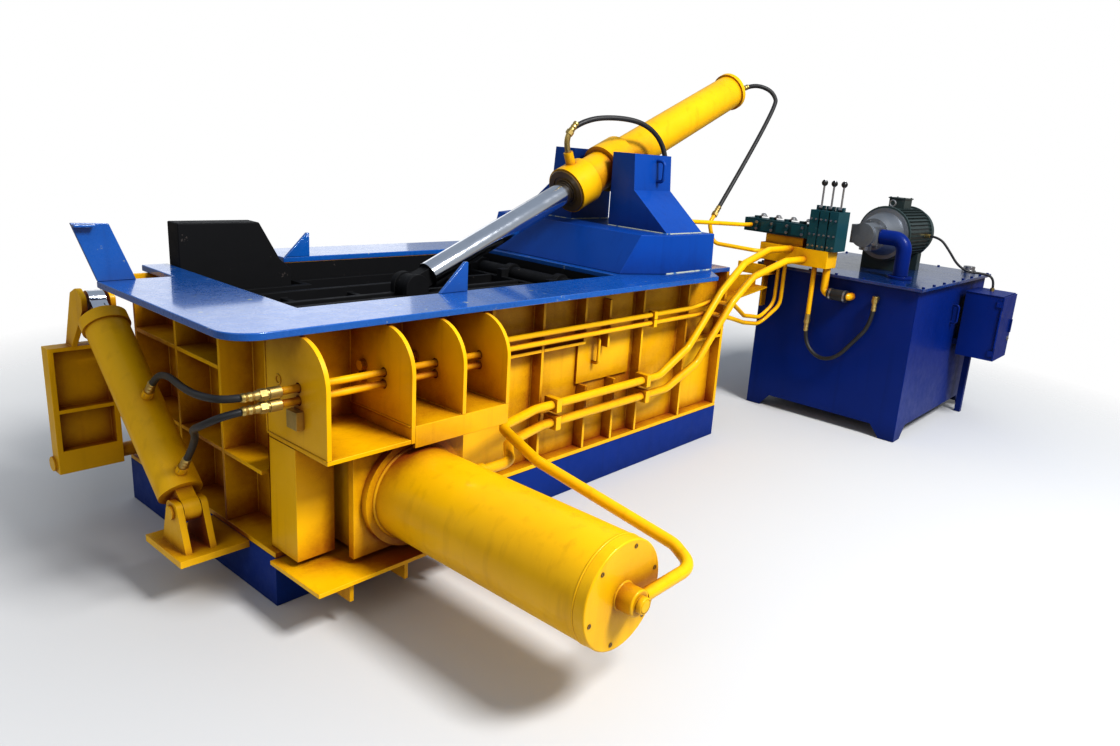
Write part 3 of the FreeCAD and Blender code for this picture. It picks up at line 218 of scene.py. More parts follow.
streaks = node(paint_group, "ShaderNodeTexNoise",
               {"Vector": streak_place, "Scale": 1.0, "Detail": 3.0}).outputs[0]
# Painted shade: ambient occlusion darkens the paint towards its shade colour in corners and
# recesses, a little patchy.
hidden = node(paint_group, "ShaderNodeAmbientOcclusion", {"Distance": 0.16}, samples=6)
corner = ranged(paint_group, hidden.outputs["AO"], 0.25, 0.95, 1.0, 0.0)
corner = math_node(paint_group, "MULTIPLY", corner, paint_in.outputs["Shade_strength"])
painted_corner_shade = math_node(paint_group, "MULTIPLY", corner,
                       ranged(paint_group, patchy, 0.3, 0.65, 0.75, 1.15))
shaded = mixed(paint_group, ranged(paint_group, broad, 0.35, 0.7, 0.0, 0.16),
               paint_in.outputs["Paint"], paint_in.outputs["Shade_and_grime"])
shaded = mixed(paint_group, ranged(paint_group, streaks, 0.55, 0.8, 0.0, 0.18),
               shaded, paint_in.outputs["Shade_and_grime"])
shaded = mixed(paint_group, painted_corner_shade, shaded, paint_in.outputs["Shade_and_grime"])
chip_line = math_node(paint_group, "SUBTRACT", 0.78,
                      math_node(paint_group, "MULTIPLY", paint_in.outputs["Chips"], 0.16))
chip = ranged(paint_group, math_node(paint_group, "SUBTRACT", patchy, chip_line), 0.0, 0.012)
final = mixed(paint_group, chip, shaded, paint_in.outputs["Bare"])
rough = math_node(paint_group, "ADD", paint_in.outputs["Gloss"],
                  ranged(paint_group, patchy, 0.35, 0.75, -0.04, 0.16))
rough = math_node(paint_group, "ADD", rough, math_node(paint_group, "MULTIPLY", chip, 0.35))
rough = math_node(paint_group, "ADD", rough, math_node(paint_group, "MULTIPLY", corner, 0.25))
height = math_node(paint_group, "SUBTRACT", math_node(paint_group, "MULTIPLY", peel, 0.35), chip)
paint_group.links.new(final, paint_out.inputs["Colour"])
paint_group.links.new(rough, paint_out.inputs["Roughness"])
paint_group.links.new(height, paint_out.inputs["Height"])


def surface(name, tree_group, values, metallic=0.0, coat=0.0, bump=0.02, depth=0.002,
            specular=0.5):
    """A material whose colour, roughness and bump come from one node group."""
    material = bpy.data.materials.new(name)
    material.use_nodes = True
    tree = material.node_tree
    shader = tree.nodes["Principled BSDF"]
    shader.inputs["Metallic"].default_value = metallic
    shader.inputs["Coat Weight"].default_value = coat
    shader.inputs["Specular IOR Level"].default_value = specular
    shader.inputs["Coat Roughness"].default_value = 0.08
    pattern = node(tree, "ShaderNodeGroup", node_tree=tree_group)
    for key, value in values.items():
        pattern.inputs[key].default_value = value
    relief = node(tree, "ShaderNodeBump", {"Height": pattern.outputs["Height"],
                                           "Strength": bump, "Distance": depth})
    tree.links.new(pattern.outputs["Colour"], shader.inputs["Base Color"])
    tree.links.new(pattern.outputs["Roughness"], shader.inputs["Roughness"])
    tree.links.new(relief.outputs[0], shader.inputs["Normal"])
    return material


def painted(name, paint, shade_and_grime_colour, bare, corner_shade_strength, chips, gloss, coat, specular=0.5):
    """Enamel in one colour, with its painted shade colour for corners and streaks, the shade's
    strength and what shows where it chips.
    """
    return surface(name, paint_group,
                   {"Paint": (*paint, 1), "Shade_and_grime": (*shade_and_grime_colour, 1), "Bare": (*bare, 1),
                    "Shade_strength": corner_shade_strength, "Chips": chips, "Gloss": gloss}, coat=coat, bump=0.35,
                   specular=specular)


# Each paint's second colour is painted shade for its corners and recesses, and also the colour of
# its streaks and tone variation; the number after the bare colour is how strong that painted
# shade is.
RUST = (0.16, 0.09, 0.05)
PRIMER = (0.42, 0.44, 0.36)
yellow_paint = painted("yellow_enamel", (0.93, 0.53, 0.0012), (0.24, 0.036, 0.0004), RUST,
                       1.25, 0.22, 0.34, 0.12, 0.22)
rim_paint = painted("blue_rim_enamel", (0.004, 0.115, 0.44), (0.001, 0.014, 0.11), PRIMER,
                    0.7, 0.85, 0.24, 0.9, 0.45)
beam_paint = painted("blue_beam_enamel", (0.0015, 0.068, 0.35), (0.001, 0.010, 0.09), PRIMER,
                     0.8, 0.45, 0.36, 0.10, 0.2)
frame_paint = painted("blue_frame_enamel", (0.0006, 0.030, 0.23), (0.001, 0.006, 0.05), PRIMER,
                      0.7, 0.30, 0.42, 0.04, 0.12)
tank_paint = painted("dark_blue_enamel", (0.0006, 0.020, 0.185), (0.0005, 0.003, 0.030), PRIMER,
                     0.7, 0.30, 0.34, 0.06, 0.12)
# The tank cover's blue is the tank's blue made lighter, a painted sheen on the tank's top,
# besides its own glossy coat.
sheen_lightened_cover_paint = painted("glossy_sheen_lightened_blue_enamel", (0.001, 0.040, 0.20), (0.0005, 0.005, 0.040), PRIMER,
                      0.7, 0.50, 0.20, 0.9, 0.5)
seam_paint = painted("rubbed_seam_paint", (0.030, 0.150, 0.36), (0.004, 0.03, 0.12), PRIMER,
                     0.5, 2.2, 0.42, 0.1, 0.3)
black_paint = painted("black_press_paint", (0.0045, 0.0045, 0.0055), (0.002, 0.002, 0.002),
                      (0.06, 0.05, 0.045), 0.5, 0.8, 0.60, 0.0, 0.22)
motor_paint = painted("green_grey_motor_paint", (0.022, 0.045, 0.045), (0.005, 0.010, 0.010),
                      (0.3, 0.3, 0.28), 0.6, 0.4, 0.38, 0.3)
valve_paint = painted("teal_valve_paint", (0.004, 0.060, 0.075), (0.002, 0.016, 0.020),
                      (0.3, 0.28, 0.24), 0.8, 0.6, 0.40, 0.2, 0.3)

# --- Bare metals and rubber ---------------------------------------------------
# Hard chrome on the rods, turned steel pins, cast alloy, brass fittings and the
# wound fabric cover of the pressure hoses.
metal_group, metal_in, metal_out = group(
    "worked_metal",
    [("Metal", "NodeSocketColor", (0.6, 0.6, 0.6, 1)),
     ("Stain", "NodeSocketColor", (0.2, 0.18, 0.15, 1)),
     ("Stained", "NodeSocketFloat", 0.3), ("Gloss", "NodeSocketFloat", 0.25),
     ("Grain", "NodeSocketFloat", 300.0)],
    [("Colour", "NodeSocketColor"), ("Roughness", "NodeSocketFloat"),
     ("Height", "NodeSocketFloat")])
metal_place = node(metal_group, "ShaderNodeTexCoord").outputs["Object"]
stain_noise = node(metal_group, "ShaderNodeTexNoise",
                   {"Vector": metal_place, "Scale": 9.0, "Detail": 7.0,
                    "Roughness": 0.65}).outputs[0]
grain_noise = node(metal_group, "ShaderNodeTexNoise",
                   {"Vector": metal_place, "Scale": metal_in.outputs["Grain"],
                    "Detail": 3.0}).outputs[0]
stain_share = math_node(metal_group, "MULTIPLY", ranged(metal_group, stain_noise, 0.42, 0.72),
                        metal_in.outputs["Stained"])
metal_colour = mixed(metal_group, stain_share, metal_in.outputs["Metal"],
                     metal_in.outputs["Stain"])
metal_rough = math_node(metal_group, "ADD", metal_in.outputs["Gloss"],
                        math_node(metal_group, "MULTIPLY", stain_share, 0.4))
metal_rough = math_node(metal_group, "ADD", metal_rough,
                        ranged(metal_group, grain_noise, 0.3, 0.7, -0.03, 0.05))
metal_group.links.new(metal_colour, metal_out.inputs["Colour"])
metal_group.links.new(metal_rough, metal_out.inputs["Roughness"])
metal_group.links.new(grain_noise, metal_out.inputs["Height"])


def metal(name, colour, stain, stained, gloss, grain, metallic=1.0, bump=0.05):
    """A bare metal, rubber or plastic with its stain, gloss and grain."""
    return surface(name, metal_group,
                   {"Metal": (*colour, 1), "Stain": (*stain, 1), "Stained": stained,
                    "Gloss": gloss, "Grain": grain}, metallic=metallic, bump=bump, depth=0.001)


chrome = metal("hard_chrome", (0.78, 0.80, 0.84), (0.45, 0.46, 0.50), 0.25, 0.10, 500.0)
steel = metal("turned_steel", (0.46, 0.46, 0.47), (0.20, 0.17, 0.14), 0.5, 0.30, 350.0)
cast_alloy = metal("cast_alloy", (0.36, 0.38, 0.41), (0.16, 0.17, 0.18), 0.6, 0.40, 120.0,
                   bump=0.25)
brass = metal("dull_brass", (0.62, 0.46, 0.16), (0.26, 0.20, 0.10), 0.6, 0.34, 240.0)
rubber = metal("hose_cover", (0.012, 0.012, 0.013), (0.05, 0.048, 0.045), 0.5, 0.46, 420.0,
               metallic=0.0, bump=0.5)
knob_black = metal("black_knob_plastic", (0.010, 0.010, 0.010), (0.03, 0.03, 0.03), 0.2, 0.22,
                   200.0, metallic=0.0)
SLOT_FINISH = {"frame_yellow": yellow_paint, "rim_blue": rim_paint, "tank_blue": tank_paint,
               "chamber_black": black_paint, "rod_chrome": chrome, "bare_steel": steel,
               "motor_grey": motor_paint, "bell_alloy": cast_alloy, "valve_teal": valve_paint,
               "fitting_brass": brass, "hose_rubber": rubber}


# --- Every welded, turned and cast piece --------------------------------------
# Plates, pipes and castings keep their shape; their facets are merged, their
# rounds run smooth and their edges are eased as a grinder leaves them.
OWN_PAINT = {"skid_frame": frame_paint, "crosshead_beam": beam_paint,
             "trunnion_brackets": beam_paint, "tank_cover": sheen_lightened_cover_paint}
EASED = {"rim_plate": 0.004, "crosshead_beam": 0.004, "trunnion_brackets": 0.004,
         "skid_frame": 0.004, "oil_tank": 0.004, "tank_cover": 0.003, "lid_frame": 0.003,
         "door_leaf": 0.006, "side_end_cap": 0.006, "electrical_box": 0.0012,
         "box_door": 0.002, "pump_and_bell": 0.003, "motor_housing": 0.002}
SMALL = ("lever_1", "lever_2", "lever_3", "hose_fittings", "pipe_clamps", "link_pipes",
         "thin_pipes", "thick_pipes", "motor_rotor", "lid_shaft", "filler_cap")
HOSE_NODES = ("lid_head_hose", "lid_tail_hose", "door_hose_upper", "door_hose_lower",
              "drain_hose", "motor_cable")
LID_EYE = Vector((-0.407, 0.0, 0.961))
CHAMBER_SIDES = (((0, -0.5, 0), (0, 1, 0)), ((0, 0.5, 0), (0, 1, 0)),
                 ((-1.235, 0, 0), (1, 0, 0)), ((0.455, 0, 0), (1, 0, 0)))
BLACKENED = {"front_wall": lambda face: face.calc_center_median().y > -0.501,
             "rear_wall": lambda face: face.calc_center_median().y < 0.501,
             "left_wall": lambda face: face.calc_center_median().x > -1.236,
             "lid_rod": lambda face: (face.calc_center_median() - LID_EYE).length < 0.135,
             "floor_plate": lambda face: abs(face.calc_center_median().y) < 0.5
             and face.normal.z > 0.5 and -1.235 < face.calc_center_median().x < 0.455}


def smoothed(bm, degrees):
    """Smooth faces with a sharp edge wherever two of them meet above an angle."""
    for face in bm.faces:
        face.smooth = True
    for edge in bm.edges:
        edge.smooth = (len(edge.link_faces) == 2
                       and edge.calc_face_angle() < math.radians(degrees))


def refined(name, material):
    """A copy of a CAD piece with merged facets, smooth rounds and eased edges."""
    bm = bmesh.new()
    bm.from_mesh(frame["nodes"][name].data)
    bmesh.ops.remove_doubles(bm, verts=bm.verts, dist=1e-5)
    bmesh.ops.dissolve_limit(bm, angle_limit=math.radians(0.4), verts=bm.verts, edges=bm.edges)
    for spot, across in CHAMBER_SIDES if name == "floor_plate" else ():
        bmesh.ops.bisect_plane(bm, geom=bm.verts[:] + bm.edges[:] + bm.faces[:], plane_co=spot,
                               plane_no=across)
    smoothed(bm, 32)
    for face in bm.faces:
        face.material_index = int(name in BLACKENED and BLACKENED[name](face))
    mesh = bpy.data.meshes.new(name + "_piece")
    bm.to_mesh(mesh)
    bm.free()
    mesh.materials.append(material)
    if name in BLACKENED:
        mesh.materials.append(black_paint)
    piece = bpy.data.objects.new(name + "_piece", mesh)
    scene.collection.objects.link(piece)
    eased = piece.modifiers.new("eased_edges", "BEVEL")
    eased.width = EASED.get(name, 0.0008 if name in SMALL else 0.0025)
    eased.segments = 2
    eased.limit_method = "ANGLE"
    eased.angle_limit = math.radians(50)
    eased.use_clamp_overlap = True
    eased.harden_normals = True
    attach(piece, body_of_node[name])
    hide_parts(name)
    return piece


for name in sorted(frame["nodes"]):
    if name not in HOSE_NODES and name != "motor_rotor":
        refined(name, OWN_PAINT.get(name) or SLOT_FINISH[slot_of_node[name]])

# The rotor turns inside the housing with little room and keeps its own mesh.
rotor = frame["nodes"]["motor_rotor"]
rotor.data.materials.clear()
rotor.data.materials.append(steel)

# --- Hoses and the motor cable ------------------------------------------------
# Wire-braided rubber hoses of 24 to 28 mm run from the fixed pipes to the two
# tilting cylinders, with crimped sleeves and nuts on their ends; a drain hose
# hangs to the tank and a cable goes from the motor to the electrical box.
def finished(name, bm, material, body, smooth=40.0):
    """Turn a bmesh into a piece that rides on a body."""
    bmesh.ops.recalc_face_normals(bm, faces=bm.faces)
    smoothed(bm, smooth)
    mesh = bpy.data.meshes.new(name)
    bm.to_mesh(mesh)
    bm.free()
    mesh.materials.append(material)
    piece = bpy.data.objects.new(name, mesh)
    scene.collection.objects.link(piece)
    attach(piece, body)
    return piece


def lathe(bm, profile, start, direction, steps=24):
    """Spin a profile of (distance, radius) steps about a line into the bmesh."""
    turn = Vector((1, 0, 0)).rotation_difference(Vector(direction)).to_matrix().to_4x4()
    spot = Matrix.Translation(start) @ turn
    line = [bm.verts.new((distance, 0, radius)) for distance, radius in profile]
    edges = [bm.edges.new(pair) for pair in zip(line, line[1:])]
    bmesh.ops.spin(bm, geom=line + edges, cent=(0, 0, 0), axis=(1, 0, 0),
                   angle=math.tau, steps=steps, use_merge=True)
    verts = set(line)
    for face in {f for vert in line for f in vert.link_faces}:
        stack = [face]
        seen = {face}
        while stack:
            here = stack.pop()
            verts.update(here.verts)
            for edge in here.edges:
                for other in edge.link_faces:
                    if other not in seen:
                        seen.add(other)
                        stack.append(other)
    verts = [vert for vert in verts if vert.is_valid]
    bmesh.ops.remove_doubles(bm, verts=verts, dist=1e-6)
    verts = [vert for vert in verts if vert.is_valid]
    bmesh.ops.transform(bm, matrix=spot, verts=verts)


def rod(bm, start, direction, length, radius, sides=6, end_radius=None):
    """A prism or cone along a line: a nut, a bolt head or a peg."""
    turn = Vector((0, 0, 1)).rotation_difference(Vector(direction)).to_matrix().to_4x4()
    middle = Vector(start) + Vector(direction).normalized() * (length / 2)
    bmesh.ops.create_cone(bm, cap_ends=True, segments=sides, radius1=radius,
                          radius2=radius if end_radius is None else end_radius,
                          depth=length, matrix=Matrix.Translation(middle) @ turn)


def slab(bm, size, centre=(0, 0, 0)):
    """A flat block; gives back its corners."""
    corners = bmesh.ops.create_cube(bm, size=1)["verts"]
    bmesh.ops.scale(bm, vec=size, verts=corners)
    bmesh.ops.translate(bm, vec=centre, verts=corners)
    return corners


PRESS_CORNER = Vector((1.395, 0.600, 0))


def from_corner(points):
    """Route points in millimetres from the skid's front left corner, as metres."""
    return [Vector(point) / 1000 - PRESS_CORNER for point in points]


def laid_curve(name, points, radius, kind="NURBS"):
    """An open line along a route, smooth unless its kind is POLY."""
    curve = bpy.data.curves.new(name, "CURVE")
    curve.dimensions = "3D"
    curve.resolution_u = 14
    curve.bevel_depth = radius
    curve.bevel_resolution = 5
    curve.use_fill_caps = radius > 0
    spline = curve.splines.new(kind)
    spline.points.add(len(points) - 1)
    for spot, point in zip(spline.points, points):
        spot.co = (*point, 1)
    spline.order_u = 3
    spline.use_endpoint_u = True
    return bpy.data.objects.new(name, curve)


def meshed(name, points, radius):
    """The mesh that a laid curve gives, with its line or its round wall."""
    laid = laid_curve(name, points, radius)
    scene.collection.objects.link(laid)
    bpy.context.view_layer.update()
    mesh = bpy.data.meshes.new_from_object(laid)
    bpy.data.objects.remove(laid)
    return mesh


def crimp(name, spot, direction, radius, body):
    """A crimped steel sleeve and its hexagon nut where a hose ends."""
    bm = bmesh.new()
    grip = radius + 0.0035
    lathe(bm, [(-0.004, radius * 0.6), (-0.004, grip - 0.001), (0.004, grip),
               (0.014, grip - 0.0025), (0.024, grip), (0.034, grip - 0.0025), (0.044, grip),
               (0.050, grip - 0.0015), (0.053, radius + 0.0005), (0.053, radius * 0.6)],
          spot, direction)
    rod(bm, Vector(spot) - Vector(direction).normalized() * 0.024, direction, 0.021, grip + 0.004)
    return finished(name, bm, brass, body, 25)


BENT_PIPE = 0.115
ROUTES = {
    "lid_head_hose": (0.014, "lid_cylinder", 1.15, [
        (1990.8, 600.0, 1606.7), (1950.5, 600.0, 1698.3), (2085, 556, 1788), (2260, 492, 1812),
        (2420, 432, 1796), (2545, 398, 1712), (2584, 376, 1575), (2558, 370, 1440),
        (2558, 370, 1300.4)]),
    "lid_tail_hose": (0.014, "lid_cylinder", 1.41, [
        (3580.8, 600.0, 2068.5), (3699.8, 600.0, 2120.9), (3830, 560, 2150), (3900, 480, 2110),
        (3880, 430, 2010), (3235, 425, 1300)]),
    "door_hose_upper": (0.012, "door_cylinder", 0.80, [
        (-110.4, -140, 834), (-205, -140, 834), (-222, 10, 815), (-190, 200, 792),
        (-155, 370, 780), (-150.0, 488.6, 755.1), (-150.0, 554.7, 680.5)]),
    "door_hose_lower": (0.012, "door_cylinder", 0.65, [
        (-110.4, -140, 792), (-205, -140, 792), (-240, -40, 735), (-210, 90, 680),
        (-165, 170, 625), (-150.0, 243.8, 548.9), (-150.0, 315.1, 468.3)]),
}
for name, (radius, moving, length, route) in ROUTES.items():
    points = from_corner(route)
    line = meshed(name + "_line", points, 0)
    path = [vert.co.copy() for vert in line.vertices]
    hose = bpy.data.objects.new(name + "_rubber", meshed(name + "_rubber", points, radius))
    scene.collection.objects.link(hose)
    hose.data.materials.append(rubber)
    hose.data.shade_smooth()
    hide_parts(name)
    if name.startswith("lid"):
        first_body, last_body = moving, "press"
        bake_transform(hose)
        bend = path[:next(i for i, spot in enumerate(path)
                          if (spot - points[0]).length > BENT_PIPE)]
        bent_piece = laid_curve(name + "_bent_pipe", bend, radius + 0.0012, "POLY")
        scene.collection.objects.link(bent_piece)
        bent_piece.data.materials.append(brass)
        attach(bent_piece, moving)
        crimp(name + "_first_sleeve", bend[-1], bend[-1] - bend[-2], radius, first_body)
    else:
        first_body, last_body = "press", moving
        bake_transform(hose)
        crimp(name + "_first_sleeve", points[0], points[1] - points[0], radius, first_body)
    crimp(name + "_last_sleeve", points[-1], points[-2] - points[-1], radius, last_body)

FIXED_ROUTES = {
    "drain_hose": (0.013, 0.80, [
        (3520, -185, 654.6), (3520, -185, 565), (3516, -235, 480), (3514, -330, 440),
        (3518, -430, 480), (3530, -510, 590), (3560, -600, 720), (3560, -600, 859.6)]),
    "motor_cable": (0.008, 0.61, [
        (4500, -560.4, 1240), (4500, -630, 1240), (4520, -700, 1160), (4550, -760, 1070),
        (4590, -830, 1024), (4630, -910, 1026), (4650, -1000, 1010), (4650, -1000, 935.4)]),
}
for name, (radius, length, route) in FIXED_ROUTES.items():
    points = from_corner(route)
    hose = laid_curve(name + "_rubber", points, radius)
    scene.collection.objects.link(hose)
    hose.data.materials.append(rubber)
    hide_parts(name)
    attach(hose, "press")
    if name == "drain_hose":
        crimp("drain_first_sleeve", points[0], points[1] - points[0], radius, "press")
        crimp("drain_last_sleeve", points[-1], points[-2] - points[-1], radius, "press")

# --- Weld seams ---------------------------------------------------------------
# Rippled fillet beads join the gussets, ribs, brackets and barrels, painted over
# with the plates that they join.
def seam(bm, start, end, radius=0.005, pitch=0.012):
    """A rippled bead between two points."""
    line = Vector(end) - Vector(start)
    rounds = max(2, int(line.length / pitch))
    profile = [(0, 0.0005)]
    for turn in range(rounds):
        profile.append((line.length * (turn + 0.25) / rounds, radius))
        profile.append((line.length * (turn + 0.85) / rounds, radius * 0.72))
    profile.append((line.length, 0.0005))
    lathe(bm, profile, start, line, steps=6)


def ring_seam(bm, centre, axis, ring, radius=0.006):
    """A bead round a pipe or barrel."""
    lathe(bm, [(radius * math.cos(math.tau * i / 8), ring + radius * math.sin(math.tau * i / 8))
               for i in range(9)], centre, axis, steps=72)


FRONT_WALL_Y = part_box("front_wall")[0].y
PLATE = 0.016
GUSSETS = (0.020, 0.335, 0.555, 0.765)
RIM_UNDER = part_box("rim_plate")[0].z
FLOOR_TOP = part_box("floor_plate")[1].z
frame_welds = bmesh.new()
for x in (1.256, 1.985, 2.387):
    for side in (0, PLATE):
        spot = x + side - PRESS_CORNER.x
        seam(frame_welds, (spot, FRONT_WALL_Y, FLOOR_TOP), (spot, FRONT_WALL_Y, RIM_UNDER))
for x in (0.955, 1.535):
    for side in (0, PLATE):
        spot = x + side - PRESS_CORNER.x
        seam(frame_welds, (spot, FRONT_WALL_Y, 0.756), (spot, FRONT_WALL_Y, RIM_UNDER))
for x in GUSSETS:
    low = 0.631 if x == GUSSETS[0] else 0.676
    for side in (0, PLATE):
        spot = x + side - PRESS_CORNER.x
        seam(frame_welds, (spot, FRONT_WALL_Y, low), (spot, FRONT_WALL_Y, RIM_UNDER))
        seam(frame_welds, (spot, FRONT_WALL_Y, low), (spot, -0.895, low))
for y in (0.340, 0.680, 1.040):
    for side in (0, PLATE):
        spot = y + side - PRESS_CORNER.y
        seam(frame_welds, (-1.275, spot, FLOOR_TOP), (-1.275, spot, RIM_UNDER))
SIDE_X, SIDE_Z, SIDE_RADIUS = -0.995, 0.405, 0.172
CAP_FACE_Y = -1.807
cap_seam_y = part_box("side_end_cap")[1].y
ring_seam(frame_welds, (SIDE_X, cap_seam_y, SIDE_Z), (0, 1, 0), SIDE_RADIUS - 0.003, 0.005)
ring_seam(frame_welds, (SIDE_X, -0.843, SIDE_Z), (0, 1, 0), SIDE_RADIUS, 0.009)
ring_seam(frame_welds, (SIDE_X, CAP_FACE_Y, SIDE_Z), (0, 1, 0), 0.042, 0.005)
finished("frame_weld_seams", frame_welds, yellow_paint, "press", 60)

blue_welds = bmesh.new()
beam_low, beam_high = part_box("crosshead_beam")
bracket_low, bracket_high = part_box("trunnion_brackets")
for side in (-1, 1):
    inner, outer = side * 0.14, side * 0.55
    for x in (bracket_low.x, bracket_high.x):
        seam(blue_welds, (x, inner, beam_high.z), (x, outer, beam_high.z), 0.006)
    seam(blue_welds, (bracket_low.x, inner, beam_high.z), (bracket_high.x, inner, beam_high.z),
         0.006)
    seam(blue_welds, (bracket_low.x, outer, beam_high.z), (bracket_high.x, outer, beam_high.z),
         0.006)
for y in (beam_low.y, beam_high.y):
    seam(blue_welds, (beam_low.x + 0.25, y, beam_low.z), (beam_high.x, y, beam_low.z), 0.006)
finished("blue_weld_seams", blue_welds, seam_paint, "press", 60)

# --- Gland rings of the cylinders ---------------------------------------------
# Each rod leaves its cylinder through a screwed gland ring with a wiper groove,
# oiled brown on the lid cylinder and yellow on the door cylinder.
lid_axis = Vector((1.362, 0, 0.599)).normalized()
TRUNNION = Vector((0.955, 0, 1.560))
gland_paint = painted("oiled_gland", (0.16, 0.085, 0.010), (0.03, 0.015, 0.004), RUST,
                      0.5, 0.4, 0.30, 0.2)


def gland(name, face, axis, rod_radius, head_radius, body, material):
    """The gland ring that stands a little out of the cylinder's head."""
    bm = bmesh.new()
    out = -Vector(axis).normalized()
    lathe(bm, [(-0.001, rod_radius + 0.0015), (0.009, rod_radius + 0.0015),
               (0.012, rod_radius + 0.005), (0.012, rod_radius + 0.011),
               (0.006, rod_radius + 0.013), (0.006, rod_radius + 0.022),
               (0.010, rod_radius + 0.024), (0.010, head_radius - 0.012),
               (0.006, head_radius - 0.009), (-0.001, head_radius - 0.009)],
          face, out, steps=48)
    return finished(name, bm, material, body, 35)


gland("lid_gland", TRUNNION - lid_axis * 0.385, lid_axis, 0.060, 0.125, "lid_cylinder",
      gland_paint)
door_axis = Vector((0, 0.692, 0.613)).normalized()
DOOR_FOOT = Vector((-1.545, -0.296, 0.315))
gland("door_gland", DOOR_FOOT + door_axis * 0.835, -door_axis, 0.035, 0.081, "door_cylinder",
      yellow_paint)

# --- Pipe nuts ----------------------------------------------------------------
# A hexagon nut and a washer hold each thin pipe on both sides of three gussets;
# a round collar seals it where it passes the first.
THIN_PIPE_Y, THIN_PIPE_ROWS = -0.620, (0.792, 0.834)
nuts = bmesh.new()
for x in GUSSETS[1:]:
    for z in THIN_PIPE_ROWS:
        for spot, way in ((x, -1), (x + PLATE, 1)):
            root = Vector((spot - PRESS_CORNER.x, THIN_PIPE_Y, z))
            rod(nuts, root, (way, 0, 0), 0.003, 0.022, sides=24)
            rod(nuts, root, (way, 0, 0), 0.018, 0.0195)
finished("gusset_pipe_nuts", nuts, yellow_paint, "press", 25)
collars = bmesh.new()
for z in THIN_PIPE_ROWS:
    ring_seam(collars, (GUSSETS[0] - PRESS_CORNER.x, THIN_PIPE_Y, z), (1, 0, 0), 0.0145, 0.0035)
finished("gusset_pipe_collars", collars, yellow_paint, "press", 60)

# --- End cap screws of the side cylinder --------------------------------------
# Small grub screws lock the welded end cap; the supply pipe ends in a stub with
# a turned plug.
cap_trim = bmesh.new()
SCREW_CIRCLE = 0.150
for i in range(6):
    angle = math.radians(60 * i + 14)
    spot = (SIDE_X + SCREW_CIRCLE * math.cos(angle), CAP_FACE_Y + 0.001,
            SIDE_Z + SCREW_CIRCLE * math.sin(angle))
    lathe(cap_trim, [(0, 0.007), (0.003, 0.007), (0.003, 0.0035), (0.0005, 0.0033), (0.0005, 0)],
          spot, (0, -1, 0), steps=12)
finished("end_cap_screws", cap_trim, gland_paint, "press")
plug = bmesh.new()
lathe(plug, [(0, 0.0215), (0, 0.0255), (0.012, 0.0265), (0.016, 0.0240), (0.0165, 0.0215)],
      (SIDE_X, -1.873, SIDE_Z), (0, -1, 0), steps=28)
finished("side_port_plug", plug, yellow_paint, "press")

# --- Motor trim ---------------------------------------------------------------
# Cast cooling fins and two end rings on the shell, a bolted terminal lid, an eye
# bolt, and the bell housing's flange with its screws.
MOTOR_Y, MOTOR_Z, MOTOR_RADIUS = -0.950, 1.240, 0.175
motor_low, motor_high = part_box("motor_housing")
shell_left, shell_right = motor_low.x, motor_high.x - 0.095
fins = bmesh.new()
FIN_COUNT = 44
for i in range(FIN_COUNT):
    angle = math.tau * i / FIN_COUNT
    upward = math.sin(angle)
    if upward < -0.80 or upward > 0.93:
        continue
    turn = Matrix.Rotation(angle, 4, "X")
    fin = slab(fins, (shell_right - shell_left - 0.05, 0.020, 0.0045))
    for vert in fin:
        if vert.co.y > 0:
            vert.co.z *= 0.55
            vert.co.x *= 0.985
    bmesh.ops.translate(fins, vec=(0, MOTOR_RADIUS + 0.006, 0), verts=fin)
    bmesh.ops.transform(fins, matrix=turn, verts=fin)
    bmesh.ops.translate(fins, vec=((shell_left + shell_right) / 2, MOTOR_Y, MOTOR_Z), verts=fin)
finished("motor_fins", fins, motor_paint, "press", 25)
motor_trim = bmesh.new()
for x in (shell_left + 0.006, shell_right - 0.006):
    lathe(motor_trim, [(-0.006, MOTOR_RADIUS - 0.004), (-0.006, MOTOR_RADIUS + 0.010),
                       (0.006, MOTOR_RADIUS + 0.012), (0.010, MOTOR_RADIUS + 0.004),
                       (0.010, MOTOR_RADIUS - 0.004)], (x, MOTOR_Y, MOTOR_Z), (1, 0, 0), 64)
box_top = motor_high.z
lid_x = shell_left + 0.220
slab(motor_trim, (0.152, 0.122, 0.008), (lid_x, MOTOR_Y, box_top + 0.003))
for dx in (-0.064, 0.064):
    for dy in (-0.049, 0.049):
        rod(motor_trim, (lid_x + dx, MOTOR_Y + dy, box_top + 0.006), (0, 0, 1), 0.005, 0.006)
finished("motor_rings_and_lid", motor_trim, motor_paint, "press", 30)
eye = bmesh.new()
ring_seam(eye, (shell_left + 0.080, MOTOR_Y, MOTOR_Z + MOTOR_RADIUS + 0.030), (1, 0, 0), 0.020,
          0.006)
lathe(eye, [(0, 0.014), (0.006, 0.014), (0.010, 0.009), (0.013, 0.009)],
      (shell_left + 0.080, MOTOR_Y, MOTOR_Z + MOTOR_RADIUS - 0.002), (0, 0, 1), 20)
finished("motor_eye_bolt", eye, steel, "press")
bell_screws = bmesh.new()
for i in range(8):
    angle = math.tau * (i + 0.5) / 8
    spot = Vector((shell_left - 0.004, MOTOR_Y + 0.160 * math.cos(angle),
                   MOTOR_Z + 0.160 * math.sin(angle)))
    rod(bell_screws, spot, (-1, 0, 0), 0.010, 0.011)
    spot = Vector((shell_left - 0.190, MOTOR_Y + 0.090 * math.cos(angle),
                   MOTOR_Z + 0.090 * math.sin(angle)))
    rod(bell_screws, spot, (-1, 0, 0), 0.008, 0.008)
finished("bell_screws", bell_screws, steel, "press", 20)
bell_flange = bmesh.new()
lathe(bell_flange, [(-0.016, 0.100), (-0.016, 0.172), (-0.002, 0.174), (0.0, 0.170), (0, 0.100)],
      (shell_left, MOTOR_Y, MOTOR_Z), (1, 0, 0), 64)
finished("bell_flange", bell_flange, cast_alloy, "press", 30)

